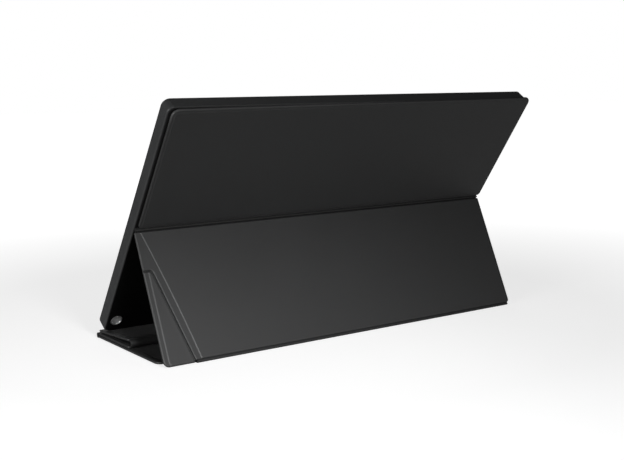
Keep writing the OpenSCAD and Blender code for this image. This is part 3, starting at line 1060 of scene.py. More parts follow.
@dataclass(frozen=True)
class Microfibre(Finish):
    """Black brushed lining with a short nap that lies in clouds."""

    tone: float = 0.0045
    fibre_scale: float = 2600.0
    fibre_stretch: Triple = (1.0, 2.6, 1.0)
    fibre_depth: float = 0.0002
    nap_scale: float = 28.0

    def paint(self, p: Painter) -> None:
        """Lays the nodes.

        Args:
            p: Painter of the new material.
        """
        fibre = p.noise(p.place(self.fibre_stretch), self.fibre_scale, 4.0, 0.7)
        nap = p.noise(p.place(), self.nap_scale, 4.0, 0.6)
        share = (nap * 0.8 + fibre * 0.5 - 0.3).clamped()
        p.set(
            Base_Color=p.blend(share, grey(self.tone * 0.75), grey(self.tone * 1.3)),
            Roughness=(0.86 + fibre * 0.12).clamped(),
            Normal=p.bump(fibre, 0.25, self.fibre_depth),
            Specular_IOR_Level=0.15,
            Sheen_Weight=0.03,
            Sheen_Roughness=0.5,
        )


@dataclass(frozen=True)
class Moulding(Finish):
    """Dark moulded plastic with a fine spark-eroded texture, whose flat rear may be painted darker as shade.
    """

    tone: float
    rough: float = 0.45
    texture: float = 0.08
    warmth: float = -0.02
    texture_scale: float = 5200.0
    texture_depth: float = 0.00006
    cloud_scale: float = 22.0
    smear_scale: float = 90.0
    smear_stretch: Triple = (1.0, 0.4, 2.2)
    rear_shade_tone: Optional[float] = None
    rear_t: float = 0.5
    shine: float = 0.5

    def paint(self, p: Painter) -> None:
        """Lays the nodes.

        Args:
            p: Painter of the new material.
        """
        spot = p.place()
        fine = p.noise(spot, self.texture_scale, 2.0)
        broad = p.noise(spot, self.cloud_scale, 3.0)
        smear = p.noise(p.place(self.smear_stretch), self.smear_scale, 4.0, 0.65)
        cloud = (broad * 1.4 - 0.2).clamped()
        base = p.blend(cloud, grey(self.tone * 0.9, self.warmth), grey(self.tone * 1.1, self.warmth))
        # The flat rear, which faces into the shade under the cover, is painted darker: painted shade.
        if self.rear_shade_tone is not None:
            start, end = (Vector(Place.MONITOR.metres(0, y, 0)) for y in (S.thick - self.rear_t, S.thick))
            out = (end - start).normalized()
            along = p.node("VectorMath", {"operation": "DOT_PRODUCT"}, output="Value", Vector=spot)
            p.feed(along.socket.node.inputs[1], out)
            shaded_rear = ((along - start.dot(out)) * (1 / (end - start).length)).clamped()
            base = p.blend(shaded_rear, base, grey(self.rear_shade_tone, self.warmth))
        p.set(
            Base_Color=base,
            Roughness=(self.rough + smear * 0.14 + fine * 0.06 - 0.1).clamped(),
            Specular_IOR_Level=self.shine,
            Normal=p.bump(fine, self.texture, self.texture_depth),
        )


@dataclass(frozen=True)
class Metal(Finish):
    """Bare metal with turning, brushing or plating marks."""

    tone: float
    rough: float
    stretch: Triple = (1.0, 1.0, 1.0)
    warmth: float = 0.0
    mark_scale: float = 2400.0
    mark_depth: float = 0.00005
    haze_scale: float = 300.0

    def paint(self, p: Painter) -> None:
        """Lays the nodes.

        Args:
            p: Painter of the new material.
        """
        marks = p.noise(p.place(self.stretch), self.mark_scale, 3.0, 0.6)
        haze = p.noise(p.place(), self.haze_scale, 3.0)
        p.set(
            Base_Color=p.blend(marks, grey(self.tone * 0.9, self.warmth), grey(self.tone, self.warmth)),
            Metallic=1.0,
            Roughness=(self.rough + marks * 0.12 + haze * 0.08 - 0.1).clamped(),
            Normal=p.bump(marks, 0.06, self.mark_depth),
        )


@dataclass(frozen=True)
class Display(Finish):
    """Anti-glare face of the liquid crystal panel, switched off."""

    clean: tuple[float, float, float, float] = (0.0035, 0.0036, 0.0042, 1)
    dusty: tuple[float, float, float, float] = (0.0055, 0.0056, 0.006, 1)
    haze_scale: float = 9000.0
    haze_depth: float = 0.00002
    dust_scale: float = 40.0

    def paint(self, p: Painter) -> None:
        """Lays the nodes.

        Args:
            p: Painter of the new material.
        """
        spot = p.place()
        haze = p.noise(spot, self.haze_scale, 1.0)
        dust = p.noise(spot, self.dust_scale, 4.0, 0.6)
        p.set(
            Base_Color=p.blend(dust, self.clean, self.dusty),
            Roughness=(0.26 + haze * 0.08 + dust * 0.06).clamped(),
            Normal=p.bump(haze, 0.05, self.haze_depth),
        )


@dataclass(frozen=True)
class Circuit(Finish):
    """Solder-masked circuit board with faint copper tracks."""

    mask: tuple[float, float, float, float] = (0.008, 0.055, 0.026, 1)
    track: tuple[float, float, float, float] = (0.03, 0.14, 0.06, 1)
    track_scale: float = 420.0
    track_depth: float = 0.0001

    def paint(self, p: Painter) -> None:
        """Lays the nodes.

        Args:
            p: Painter of the new material.
        """
        tracks = p.node(
            "TexVoronoi", {"feature": "DISTANCE_TO_EDGE"}, Vector=p.place((1.0, 1.0, 0.5)),
            Scale=self.track_scale,
        )
        line = (1.0 - tracks * 14.0).clamped()
        p.set(
            Base_Color=p.blend(line * 0.6, self.mask, self.track),
            Roughness=(0.42 + line * 0.1).clamped(),
            Normal=p.bump(line, 0.2, self.track_depth),
        )


@dataclass(frozen=True)
class Frosted(Finish):
    """Frosted light plastic, as of a light guide."""

    tone: float
    warmth: float = 0.0
    fleck_scale: float = 1400.0
    fleck_depth: float = 0.0001

    def paint(self, p: Painter) -> None:
        """Lays the nodes.

        Args:
            p: Painter of the new material.
        """
        fleck = p.noise(p.place(), self.fleck_scale, 4.0, 0.7)
        p.set(
            Base_Color=p.blend(fleck, grey(self.tone * 0.8, self.warmth), grey(self.tone, self.warmth)),
            Roughness=(0.7 + fleck * 0.2 - 0.1).clamped(),
            Normal=p.bump(fleck, 0.1, self.fleck_depth),
        )


class Finishes:
    """The materials of the whole object, made once."""

    def __init__(self) -> None:
        """Builds every material."""
        self.leather = Leather("grained_leather").make()
        # Darker copies of the panels' leather: painted shade in the folds and, darker still, in the crease's
        # grooves.
        self.fold = Leather("fold_leather", tone=0.014, rough=0.5, grain=0.16, creases=0.8).make()
        self.crease = Leather("shaded_crease_leather", tone=0.007, rough=0.6, grain=0.16, creases=0.8).make()
        self.lining = Microfibre("microfibre_lining").make()
        # The housing's rear is painted near black as the shade under the cover.
        self.housing = Moulding("housing_plastic", 0.04, 0.42, 0.10, rear_shade_tone=0.002, shine=0.25).make()
        self.bezel = Moulding("bezel_plastic", 0.008, 0.38, 0.06).make()
        self.key = Moulding("key_plastic", 0.012, 0.3, 0.05).make()
        self.display = Display("display_face").make()
        self.sleeve = Metal("turned_aluminium", 0.95, 0.3, (1.0, 6.0, 1.0)).make()
        self.steel = Metal("plated_steel", 0.62, 0.34, (5.0, 1.0, 1.0)).make()
        self.gold = Metal("gold_plating", 0.6, 0.25, warmth=0.35).make()
        self.circuit = Circuit("circuit_board").make()
        self.flex = Moulding("flat_cable", 0.2, 0.4, 0.03, 0.55).make()
        self.diffuser = Frosted("light_guide", 0.85).make()

    def dress_nodes(self, nodes: dict[str, bpy.types.Object]) -> None:
        """Gives the CAD nodes that stay in view their materials.

        Args:
            nodes: The CAD nodes by name.
        """
        chosen = {
            "lcd_panel": self.display,
            "backlight_unit": self.diffuser,
            "status_light": self.diffuser,
            "panel_frame": self.steel,
            "catch_plates": self.steel,
            "frame_screws": self.steel,
            "usb_c_socket": self.steel,
            "back_panel_magnets": self.steel,
            "end_magnets": self.steel,
            "control_board": self.circuit,
            "button_board": self.circuit,
            "display_cable": self.flex,
        }
        for name, node in nodes.items():
            node.data.materials.clear()
            node.data.materials.append(chosen.get(name, self.leather))


# ---------------------------------------------------------------------------------------------------
# Cover
# ---------------------------------------------------------------------------------------------------


# Distances from an edge, in millimetres, at which the surfaces of a panel bend.
EDGE_BENDS = (0.05, 0.2, 0.45, 0.8, 1.2)
RIDGE_BENDS = (-0.85, -0.45, -0.22, 0.0, 0.22, 0.45, 0.9)
HEM_BENDS = (-0.5, -0.12, 0.12, 0.5)
LINING_BENDS = (0.04, 0.12, 0.5)
GROOVE_BENDS = (-0.45, -0.3, -0.15, 0.0, 0.15, 0.3, 0.45)


@dataclass
class PressedPanel:
    """A stiff panel of the cover: leather pressed round a board, its hem turned in over a lining."""

    name: str
    body: str
    place: Place
    region: Region
    board: Region
    window: Region
    seed: int
    nodes: tuple[str, str, str]
    outer_r: float = 0.8
    inner_r: float = 0.5
    slope: float = 0.9
    recess: float = 0.5
    lining_t: float = 0.3
    lining_gap: float = 0.15
    lining_edge: float = 0.12
    hem_step: float = 0.24
    unevenness: float = 0.05
    wave: float = 70.0
    ease: float = 4.0
    nap: float = 0.02
    nap_wave: float = 30.0
    nap_seed: int = 50
    nap_ease: float = 3.0
    grid: float = 9.0
    # Painted highlight, with wear, along the panel's edge and the board's ridge: its amounts and reach, the x
    # range over which it grows towards +X, and the height above which it shows.
    edge_wear_highlight: float = 0.0
    edge_band: float = 1.4
    ridge_wear_highlight: float = 0.12
    ridge_in: float = 0.2
    ridge_band: float = 0.7
    highlight_ramp: Point = (-200.0, 180.0)
    highlight_from: float = -100.0
    highlight_over: float = 4.0
    skew: float = 0.0

    def _outside(self, p: np.ndarray) -> np.ndarray:
        """Gives the height of the leather's outside.

        Args:
            p: The points, one row of x and z each.

        Returns:
            The height at each point.
        """
        raised = smooth(self.board.depth(p) / self.slope + 0.5)
        uneven = waves(p, self.seed, self.wave, self.unevenness) - self.unevenness
        inside = smooth(self.region.depth(p) / self.ease)
        return S.margin_drop * (raised - 1) + rolled(self.region.depth(p), self.outer_r) + uneven * inside

    def _inside(self, p: np.ndarray) -> np.ndarray:
        """Gives the height of the turned hem and of the floor under the lining.

        Args:
            p: The points, one row of x and z each.

        Returns:
            The height at each point.
        """
        low = smooth(self.window.depth(p) / self.hem_step + 0.5)
        return self.recess * low - S.panel - rolled(self.region.depth(p), self.inner_r)

    def _wear_and_highlight(self, p: np.ndarray) -> np.ndarray:
        """Gives the share of wear and painted highlight: along the panel's edge and the board's ridge,
        growing towards +X and shown above a height.

        Args:
            p: The points, one row of x and z each.

        Returns:
            The share of wear and painted highlight at each point, from 0 to 1.
        """
        edge = 1 - smooth(self.region.depth(p) / self.edge_band)
        ridge = 1 - smooth(np.abs(self.board.depth(p) - self.ridge_in) / self.ridge_band)
        far, near = self.highlight_ramp
        highlight_ramp = smooth((p[:, 0] - far) / (near - far))
        highlight_ramp = highlight_ramp * smooth((p[:, 1] - self.highlight_from) / self.highlight_over)
        return np.maximum(edge * self.edge_wear_highlight, ridge * self.ridge_wear_highlight) * highlight_ramp

    def _skewed(self, shape: Shape) -> Shape:
        """Gives the shape with its far edge slightly askew, as leather settles in use.

        Args:
            shape: The shape of the leather or the lining.

        Returns:
            The same shape, moved.
        """
        z0, z1 = (f([z for _, z in self.region.inset(0.0)]) for f in (min, max))
        shape.points = [(x, y, z - self.skew * x * (z - z0) / (z1 - z0)) for x, y, z in shape.points]
        return shape

    def leather(self, finishes: Finishes) -> bpy.types.Object:
        """Makes the leather of the panel, with its edge, its pressed margin and its hem.

        Args:
            finishes: The object's finishes.

        Returns:
            The leather.
        """
        bends = (self.region, EDGE_BENDS), (self.board, RIDGE_BENDS), (self.window, HEM_BENDS)
        lines = [line for region, steps in bends for d in steps for line in region.lines(d)]
        shape = slab(self.region, lines, self._outside, self._inside, self.grid, self._wear_and_highlight)
        return self._skewed(shape).build(self.name + "_leather", self.place, finishes.leather)

    def lining(self, finishes: Finishes) -> bpy.types.Object:
        """Makes the lining sheet that lies inside the hem.

        Args:
            finishes: The object's finishes.

        Returns:
            The lining.
        """
        floor = self.recess - S.panel
        sheet = self.window.moved(self.lining_gap)

        def back(p: np.ndarray) -> np.ndarray:
            """Gives the height of the sheet's hidden side."""
            return np.full(len(p), floor)

        def face(p: np.ndarray) -> np.ndarray:
            """Gives the height of the sheet's napped side.

            Args:
                p: The points, one row of x and z each.

            Returns:
                The height at each point.
            """
            depth = sheet.depth(p)
            soft = waves(p, self.seed + self.nap_seed, self.nap_wave, self.nap)
            soft = soft * smooth(depth / self.nap_ease)
            return floor - self.lining_t - rolled(depth, self.lining_edge) + soft

        lines = [line for d in LINING_BENDS for line in sheet.lines(d)]
        shape = self._skewed(slab(sheet, lines, back, face, self.grid))
        return shape.build(self.name + "_lining", self.place, finishes.lining)

    def dress(self, finishes: Finishes) -> list[bpy.types.Object]:
        """Builds the panel's pieces and fastens them to its body.

        Args:
            finishes: The object's finishes.

        Returns:
            The leather and the lining.
        """
        skin, board, lining = self.nodes
        outer, inner = self.leather(finishes), self.lining(finishes)
        for piece, nodes, slot in ((outer, (skin, board), "leather"), (inner, (lining,), "lining")):
            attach(piece, self.body)
            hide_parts(*nodes)
        return [outer, inner]


@dataclass
class Fold:
    """A soft fold that is swept along X and lies between the two bodies beside it."""

    name: str
    section: Loop
    x0: float
    x1: float
    bodies: tuple[str, str]
    start: Point
    end: Point
    nodes: tuple[str, ...]
    ripple: float = 0.06
    seed: float = 0.0
    finish: Optional[bpy.types.Material] = None
    section_step: float = 0.8
    sweep_step: float = 3.0

    @staticmethod
    def tree() -> Modeller:
        """Builds the tree that sweeps a section along X and ripples it faintly.

        Returns:
            The tree, with its inputs named.
        """
        ripple_scale = 45.0
        g = Modeller(
            "swept_fold", Start="Vector", End="Vector", Count="Int", Ripple="Float", Seed="Float",
            Material="Material",
        )
        line = g.node("GeometryNodeCurvePrimitiveLine", Start=g.given("Start"), End=g.given("End"))
        path = g.node("GeometryNodeResampleCurve", Curve=line, Count=g.given("Count"))
        upright = g.node("GeometryNodeSetCurveNormal", {"mode": "Z_UP"}, Curve=path)
        section = g.node("GeometryNodeMeshToCurve", Mesh=g.given("Geometry"))
        swept = g.node("GeometryNodeCurveToMesh", Curve=upright, Profile_Curve=section, Fill_Caps=True)
        spot = g.node("GeometryNodeInputPosition")
        noise = g.node(
            "TexNoise", {"noise_dimensions": "4D"}, output="Color", Vector=spot, W=g.given("Seed"),
            Scale=ripple_scale,
        )
        middle = g.node("VectorMath", {"operation": "SUBTRACT"}, Vector=noise)
        g.feed(middle.socket.node.inputs[1], (0.5, 0.5, 0.5))
        shift = g.node("VectorMath", {"operation": "SCALE"}, Vector=middle, Scale=g.given("Ripple"))
        across = g.node("VectorMath", {"operation": "MULTIPLY"}, Vector=shift)
        g.feed(across.socket.node.inputs[1], (0.0, 1.0, 1.0))
        g.close(g.node("GeometryNodeSetPosition", Geometry=swept, Offset=across))
        return g

    def dress(self, tree: Modeller, finishes: Finishes) -> bpy.types.Object:
        """Builds the fold and hides the CAD nodes that it stands for.

        Args:
            tree: The tree that sweeps the section.
            finishes: The object's finishes.

        Returns:
            The fold.
        """
        loop = dense(self.section, self.section_step)
        profile = bpy.data.meshes.new("section")
        n = len(loop)
        edges = [(i, (i + 1) % n) for i in range(n)]
        profile.from_pydata([(-y * MM, -z * MM, 0) for y, z in loop], edges, [])
        # The folds take the darker leather, whose tone is painted shade.
        material = self.finish or finishes.fold
        mesh = tree.run(
            profile, Start=(self.x0 * MM, 0, 0), End=(self.x1 * MM, 0, 0),
            Count=max(2, round((self.x1 - self.x0) / self.sweep_step)), Ripple=self.ripple * MM,
            Seed=self.seed, Material=material,
        )
        piece = finish_object(self.name, mesh, material, SHARP_FOLD)
        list(self.bodies)
        world_point(self.start)
        world_point(self.end)
        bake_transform(piece)
        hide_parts(*self.nodes)
        return piece


def world_point(section: Point) -> Triple:
    """Gives a section's (y, z) in millimetres as a world point in metres."""
    return 0.0, section[0] * MM, section[1] * MM


@dataclass
class Cover:
    """The folding cover: its six panels and the soft folds between them."""

    finishes: Finishes
    groove: float = 1.2
    flap_margin: float = 4.2
    flap_edge: float = 0.6
    flap_drop: float = 0.5
    flap_hem: float = 3.6
    flap_corner: float = 4.6
    back_skew: float = 0.008
    # Painted highlight, with wear, along the back panel's top edge and along the leg's ridge.
    back_wear_highlight: float = 0.8
    highlight_band: float = 10.0
    leg_wear_highlight: float = 0.2
    ridge_r: float = 0.75
    ridge_in: float = 0.45
    ridge_turn: float = 118.0
    fold_in: float = 2.1
    groove_in: float = 1.75
    groove_dip: float = 0.4
    groove_lap: float = 0.05
    groove_hem: float = 0.5
    groove_hem_w: float = 5.5
    groove_hem_ease: float = 1.6
    groove_pin: float = 1.4

    @staticmethod
    def _panel(w: float, shift: float, z0: float, z1: float, r0: float, r1: float) -> Rounded:
        """Gives the region of a panel w wide, moved towards -X by shift, from z0 to z1."""
        return Rounded(-w / 2 - shift, w / 2 - shift, z0, z1, r0, r1)

    def _leg_panels(self) -> list[PressedPanel]:
        """Lists the leg and the corner flap that is parted from it by the slanted groove.

        Returns:
            The two panels.
        """
        half, low, g = S.width / 2, S.fold_gap, self.groove / 2
        leg = Rounded(-half, half, low, S.leg_top, S.fold_r, S.tight_r)
        face = Rounded(
            S.margin - half, half - S.margin, low + S.fold_margin, S.leg_top - S.fold_margin,
            S.tight_r, S.tight_r,
        )
        flap = Rounded(-half, half, -self.flap_drop, S.leg_top, self.flap_corner, S.fold_r)
        flap_face = Rounded(
            -half, half - self.flap_margin, self.flap_edge - self.flap_drop, S.leg_top, S.fold_r, S.fold_r
        )
        zone, soft = FlapZone(), SoftZone()
        return [
            PressedPanel(
                "leg", "leg", Place.LEG, leg.without(zone.moved(-g)), face.without(soft),
                leg.moved(S.hem).without(soft.moved(-S.hem / 2)), 2, ("leg_skin", "leg_board", "leg_lining"),
                ridge_wear_highlight=self.leg_wear_highlight,
            ),
            PressedPanel(
                "corner_flap", "corner_flap", Place.LEG, flap.within(zone.moved(g)),
                flap_face.within(zone.moved(g + self.flap_edge)),
                flap.moved(self.flap_hem).within(zone.moved(g + self.flap_hem)), 3,
                ("corner_flap_skin", "corner_flap_board", "corner_flap_lining"),
            ),
        ]

    def panels(self) -> list[PressedPanel]:
        """Lists the cover's six panels.

        Returns:
            The panels.
        """
        plain = [
            ("back_panel", Place.BACK, self._panel(
                S.back_w, S.back_shift, S.back_low, S.height, S.fold_r, S.panel_r), "back_panel"),
            ("base", Place.BASE, self._panel(
                S.width, 0, S.front_tab, S.base_l, S.tight_r, S.panel_r), "base"),
            ("middle_panel", Place.MIDDLE, self._panel(
                S.width - S.middle_less, 0, S.front_tab, S.middle_l, S.tight_r, S.tight_r), "middle"),
            ("end_panel", Place.END, self._panel(
                S.width - S.end_less, 0, -S.end_l, -0.02, S.tight_r, S.tight_r), "end"),
        ]
        panels = [
            PressedPanel(
                name, name, place, region, region.moved(S.margin), region.moved(S.hem), 4 + i,
                (stem + "_skin", stem + "_board", stem + "_lining"),
            )
            for i, (name, place, region, stem) in enumerate(plain)
        ]
        back = panels[0]
        # The back panel's top edge gets a painted highlight, with wear.
        back.edge_wear_highlight, back.highlight_from = self.back_wear_highlight, S.height - self.highlight_band
        back.skew = self.back_skew
        return panels + self._leg_panels()

    def _crease(self) -> Fold:
        """Gives the crease: a rolled ridge between two grooves, with the lining behind it.

        Returns:
            The fold.
        """
        back, leg = Place.BACK.section, Place.LEG.section
        axis = back(0, S.crease_s)
        lean, tilt = math.radians(S.lean), math.radians(S.leg_tilt)
        out = math.atan2(math.cos(lean) - math.cos(tilt), math.sin(lean) + math.sin(tilt))
        centre = (axis[0] - self.ridge_in * math.cos(out), axis[1] - self.ridge_in * math.sin(out))
        turn, span = math.degrees(out), self.ridge_turn
        section = [back(-0.8, S.back_low + 0.05), back(-1.6, S.back_low - 0.35)]
        section += arc(centre, self.ridge_r, turn + span, turn - span, 14)
        section += [leg(-1.6, S.leg_top + 0.35), leg(-0.8, S.leg_top - 0.05), leg(-2.1, S.leg_top - 0.05)]
        section += [leg(-2.15, S.leg_top + 0.5), back(-2.15, S.back_low - 0.5), back(-2.1, S.back_low + 0.05)]
        half = S.width / 2 - S.tight_r
        return Fold(
            "crease_fold_leather", section, -half, half, ("back_panel", "leg"),
            back(-1, S.back_low), leg(-1, S.leg_top), ("crease_strip",), 0.14, 1.0, self.finishes.crease,
        )

    def _foot(self) -> Fold:
        """Gives the soft foot: it lies on the floor behind the base and turns up round the leg's edge.

        Returns:
            The fold.
        """
        leg = Place.LEG.section
        rear = Place.BASE.matrix @ Vector((0, 0, S.base_l))
        front, r = rear.y, S.roll
        flat_end = S.foot[0] - S.fold_gap
        section = [(front, 0.06), (front + 0.4, 0.0), (flat_end, 0.0)]
        section += arc(S.foot, r, -90, S.leg_tilt, 8)
        section += [leg(-0.1, 0.6), leg(-0.45, S.fold_gap + 0.05), leg(-1.75, S.fold_gap + 0.05)]
        section += [leg(-1.75, 0.4), (S.foot[0] - 0.9, S.fold_t + 0.25), (flat_end, S.fold_t)]
        section += [(front + 0.4, S.fold_t), (front, S.fold_t - 0.1)]
        return Fold(
            "foot_fold_leather", section, S.foot_x0, S.foot_x1, ("base", "leg"),
            (flat_end, 0.5), leg(-0.5, S.fold_gap), ("spine_strip", "foot_fold_strip"), 0.12, 2.0,
        )

    def _front(self) -> Fold:
        """Gives the rounded front edge between the base panel and the middle panel.

        Returns:
            The fold.
        """
        y, z = S.front_axis
        near = y + S.front_tab
        section = [(near, 0.25)] + arc(S.front_axis, z, 270, 90, 18) + [(near, 2 * z - 0.25)]
        section += [(near, z + 0.35)] + arc((y, z), 0.35, 90, 270, 6) + [(near, z - 0.35)]
        half = S.width / 2 - 0.3
        return Fold(
            "front_fold_leather", section, -half, half, ("base", "middle_panel"),
            (y, 0.2), (y, 2 * z - 0.2), ("front_fold_strip",), 0.05, 3.0,
        )

    def _rear(self) -> Fold:
        """Gives the open fold at the rear, which holds the end panel up.

        Returns:
            The fold.
        """
        slack = (S.panel - S.fold_t) / 2
        top = 90 + S.end_tilt
        section = arc(S.rear_axis, S.wedge_r + S.panel - slack, -90, top, 20)
        section += arc(S.rear_axis, S.wedge_r + slack, top, -90, 16)
        half = (S.width - S.end_less) / 2 - S.tight_r
        y, z = S.rear_axis
        return Fold(
            "rear_fold_leather", section, -half, half, ("middle_panel", "end_panel"),
            (y, z - S.wedge_r - 1), (y, z + S.wedge_r + 1), ("rear_fold_strip",), 0.05, 4.0,
        )

    def _corner_fold(self) -> bpy.types.Object:
        """Builds the thin leather in the slanted groove, on which the corner flap folds outwards.

        Returns:
            The fold.
        """
        g = self.groove / 2
        half = S.width / 2
        leg = Rounded(-half, half, S.fold_gap, S.leg_top, S.fold_r, S.tight_r)
        zone = FlapZone()
        region = leg.within(zone.moved(-g - self.groove_lap)).without(zone.moved(g + self.groove_lap))

        def top(p: np.ndarray) -> np.ndarray:
            """Gives the height of the groove's outside, which rises to the hem at the leg's edge.

            Args:
                p: The points, one row of x and z each.

            Returns:
                The height at each point.
            """
            side = np.minimum(np.abs(zone.depth(p)) / g, 1.1)
            hem = smooth((p[:, 0] - half + self.groove_hem_w) / self.groove_hem_ease)
            return (-self.groove_in + self.groove_dip * side**2) * (1 - hem) - self.groove_hem * hem

        def bottom(p: np.ndarray) -> np.ndarray:
            """Gives the height of the groove's inside."""
            return np.full(len(p), -self.fold_in)

        lines = [line for d in GROOVE_BENDS for line in zone.lines(d)]
        # The groove takes the darker fold leather, whose tone is painted shade.
        piece = slab(region, lines, top, bottom).build("corner_fold_leather", Place.LEG, self.finishes.fold)
        high, low = zone.fold
        a = math.radians(zone.slant)
        middle = ((high[0] + low[0]) / 2, (high[1] + low[1]) / 2)
        x, z, pin = g * math.cos(a), g * math.sin(a), -self.groove_pin
        start = Place.LEG.metres(middle[0] - x, pin, middle[1] + z)
        end = Place.LEG.metres(middle[0] + x, pin, middle[1] - z)
        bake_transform(piece)
        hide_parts("corner_fold_strip")
        return piece

    def dress(self) -> list[bpy.types.Object]:
        """Builds the panels and the folds.

        Returns:
            The cover's pieces.
        """
        pieces = [piece for panel in self.panels() for piece in panel.dress(self.finishes)]
        tree = Fold.tree()
        for fold in (self._crease(), self._foot(), self._front(), self._rear()):
            pieces.append(fold.dress(tree, self.finishes))
        return pieces + [self._corner_fold()]


# ---------------------------------------------------------------------------------------------------
# Monitor
# ---------------------------------------------------------------------------------------------------


# Distances from an edge, in millimetres, at which the bezel's front bends.
BEZEL_BENDS = (0.04, 0.12, 0.25, 0.45, 0.8, 1.3)
WINDOW_BENDS = (0.18, 0.36, 0.55, 1.0)
HOLE_BENDS = (0.06, 0.18, 0.5)


@dataclass(frozen=True)
class MonitorSizes:
    """The monitor's own sizes, in millimetres."""

    bezel_t: float = 1.2
    wall: float = 1.4
    lap: float = 0.02
    rear_edge: float = 1.8
    rear_ring: float = 1.2
    front_edge: float = 0.8
    seam: float = 0.12
    view: tuple[float, float] = (344.0, 193.6)
    chin: float = 24.4
    window_r: float = 1.5
    slant: Point = (0.55, 0.5)
    hole_edge: float = 0.18
    grid: float = 12.0
    pen: Point = (170.6, 12.0)
    pen_r: float = 4.3
    pen_out: float = 5.3
    pen_flare: float = 0.7
    buttons_z: float = 10.5
    power: Point = (-162.0, 3.5)
    menu: Triple = (-145.0, 13.0, 4.6)
    light: Point = (-133.0, 0.8)
    proud: float = 0.6
    gap: float = 0.2
    key_edge: float = 0.3
    key_face: float = 0.7
    dish: Point = (0.22, 0.16)
    flange: Triple = (0.8, 1.25, 1.85)
    port: Triple = (6.9, 44.0, 8.9)
    port_h: float = 3.2
    port_flare: tuple[Point, ...] = ((-1.0, 1.3), (0.0, 0.45), (0.3, 0.2), (3.0, 0.2))
    tongue_x: float = -176.75
    pin: Triple = (2.4, 0.06, 0.22)
    pin_in: float = 1.6
    pin_apart: float = 0.7
    pin_pitch: float = 0.42
    pin_count: int = 12


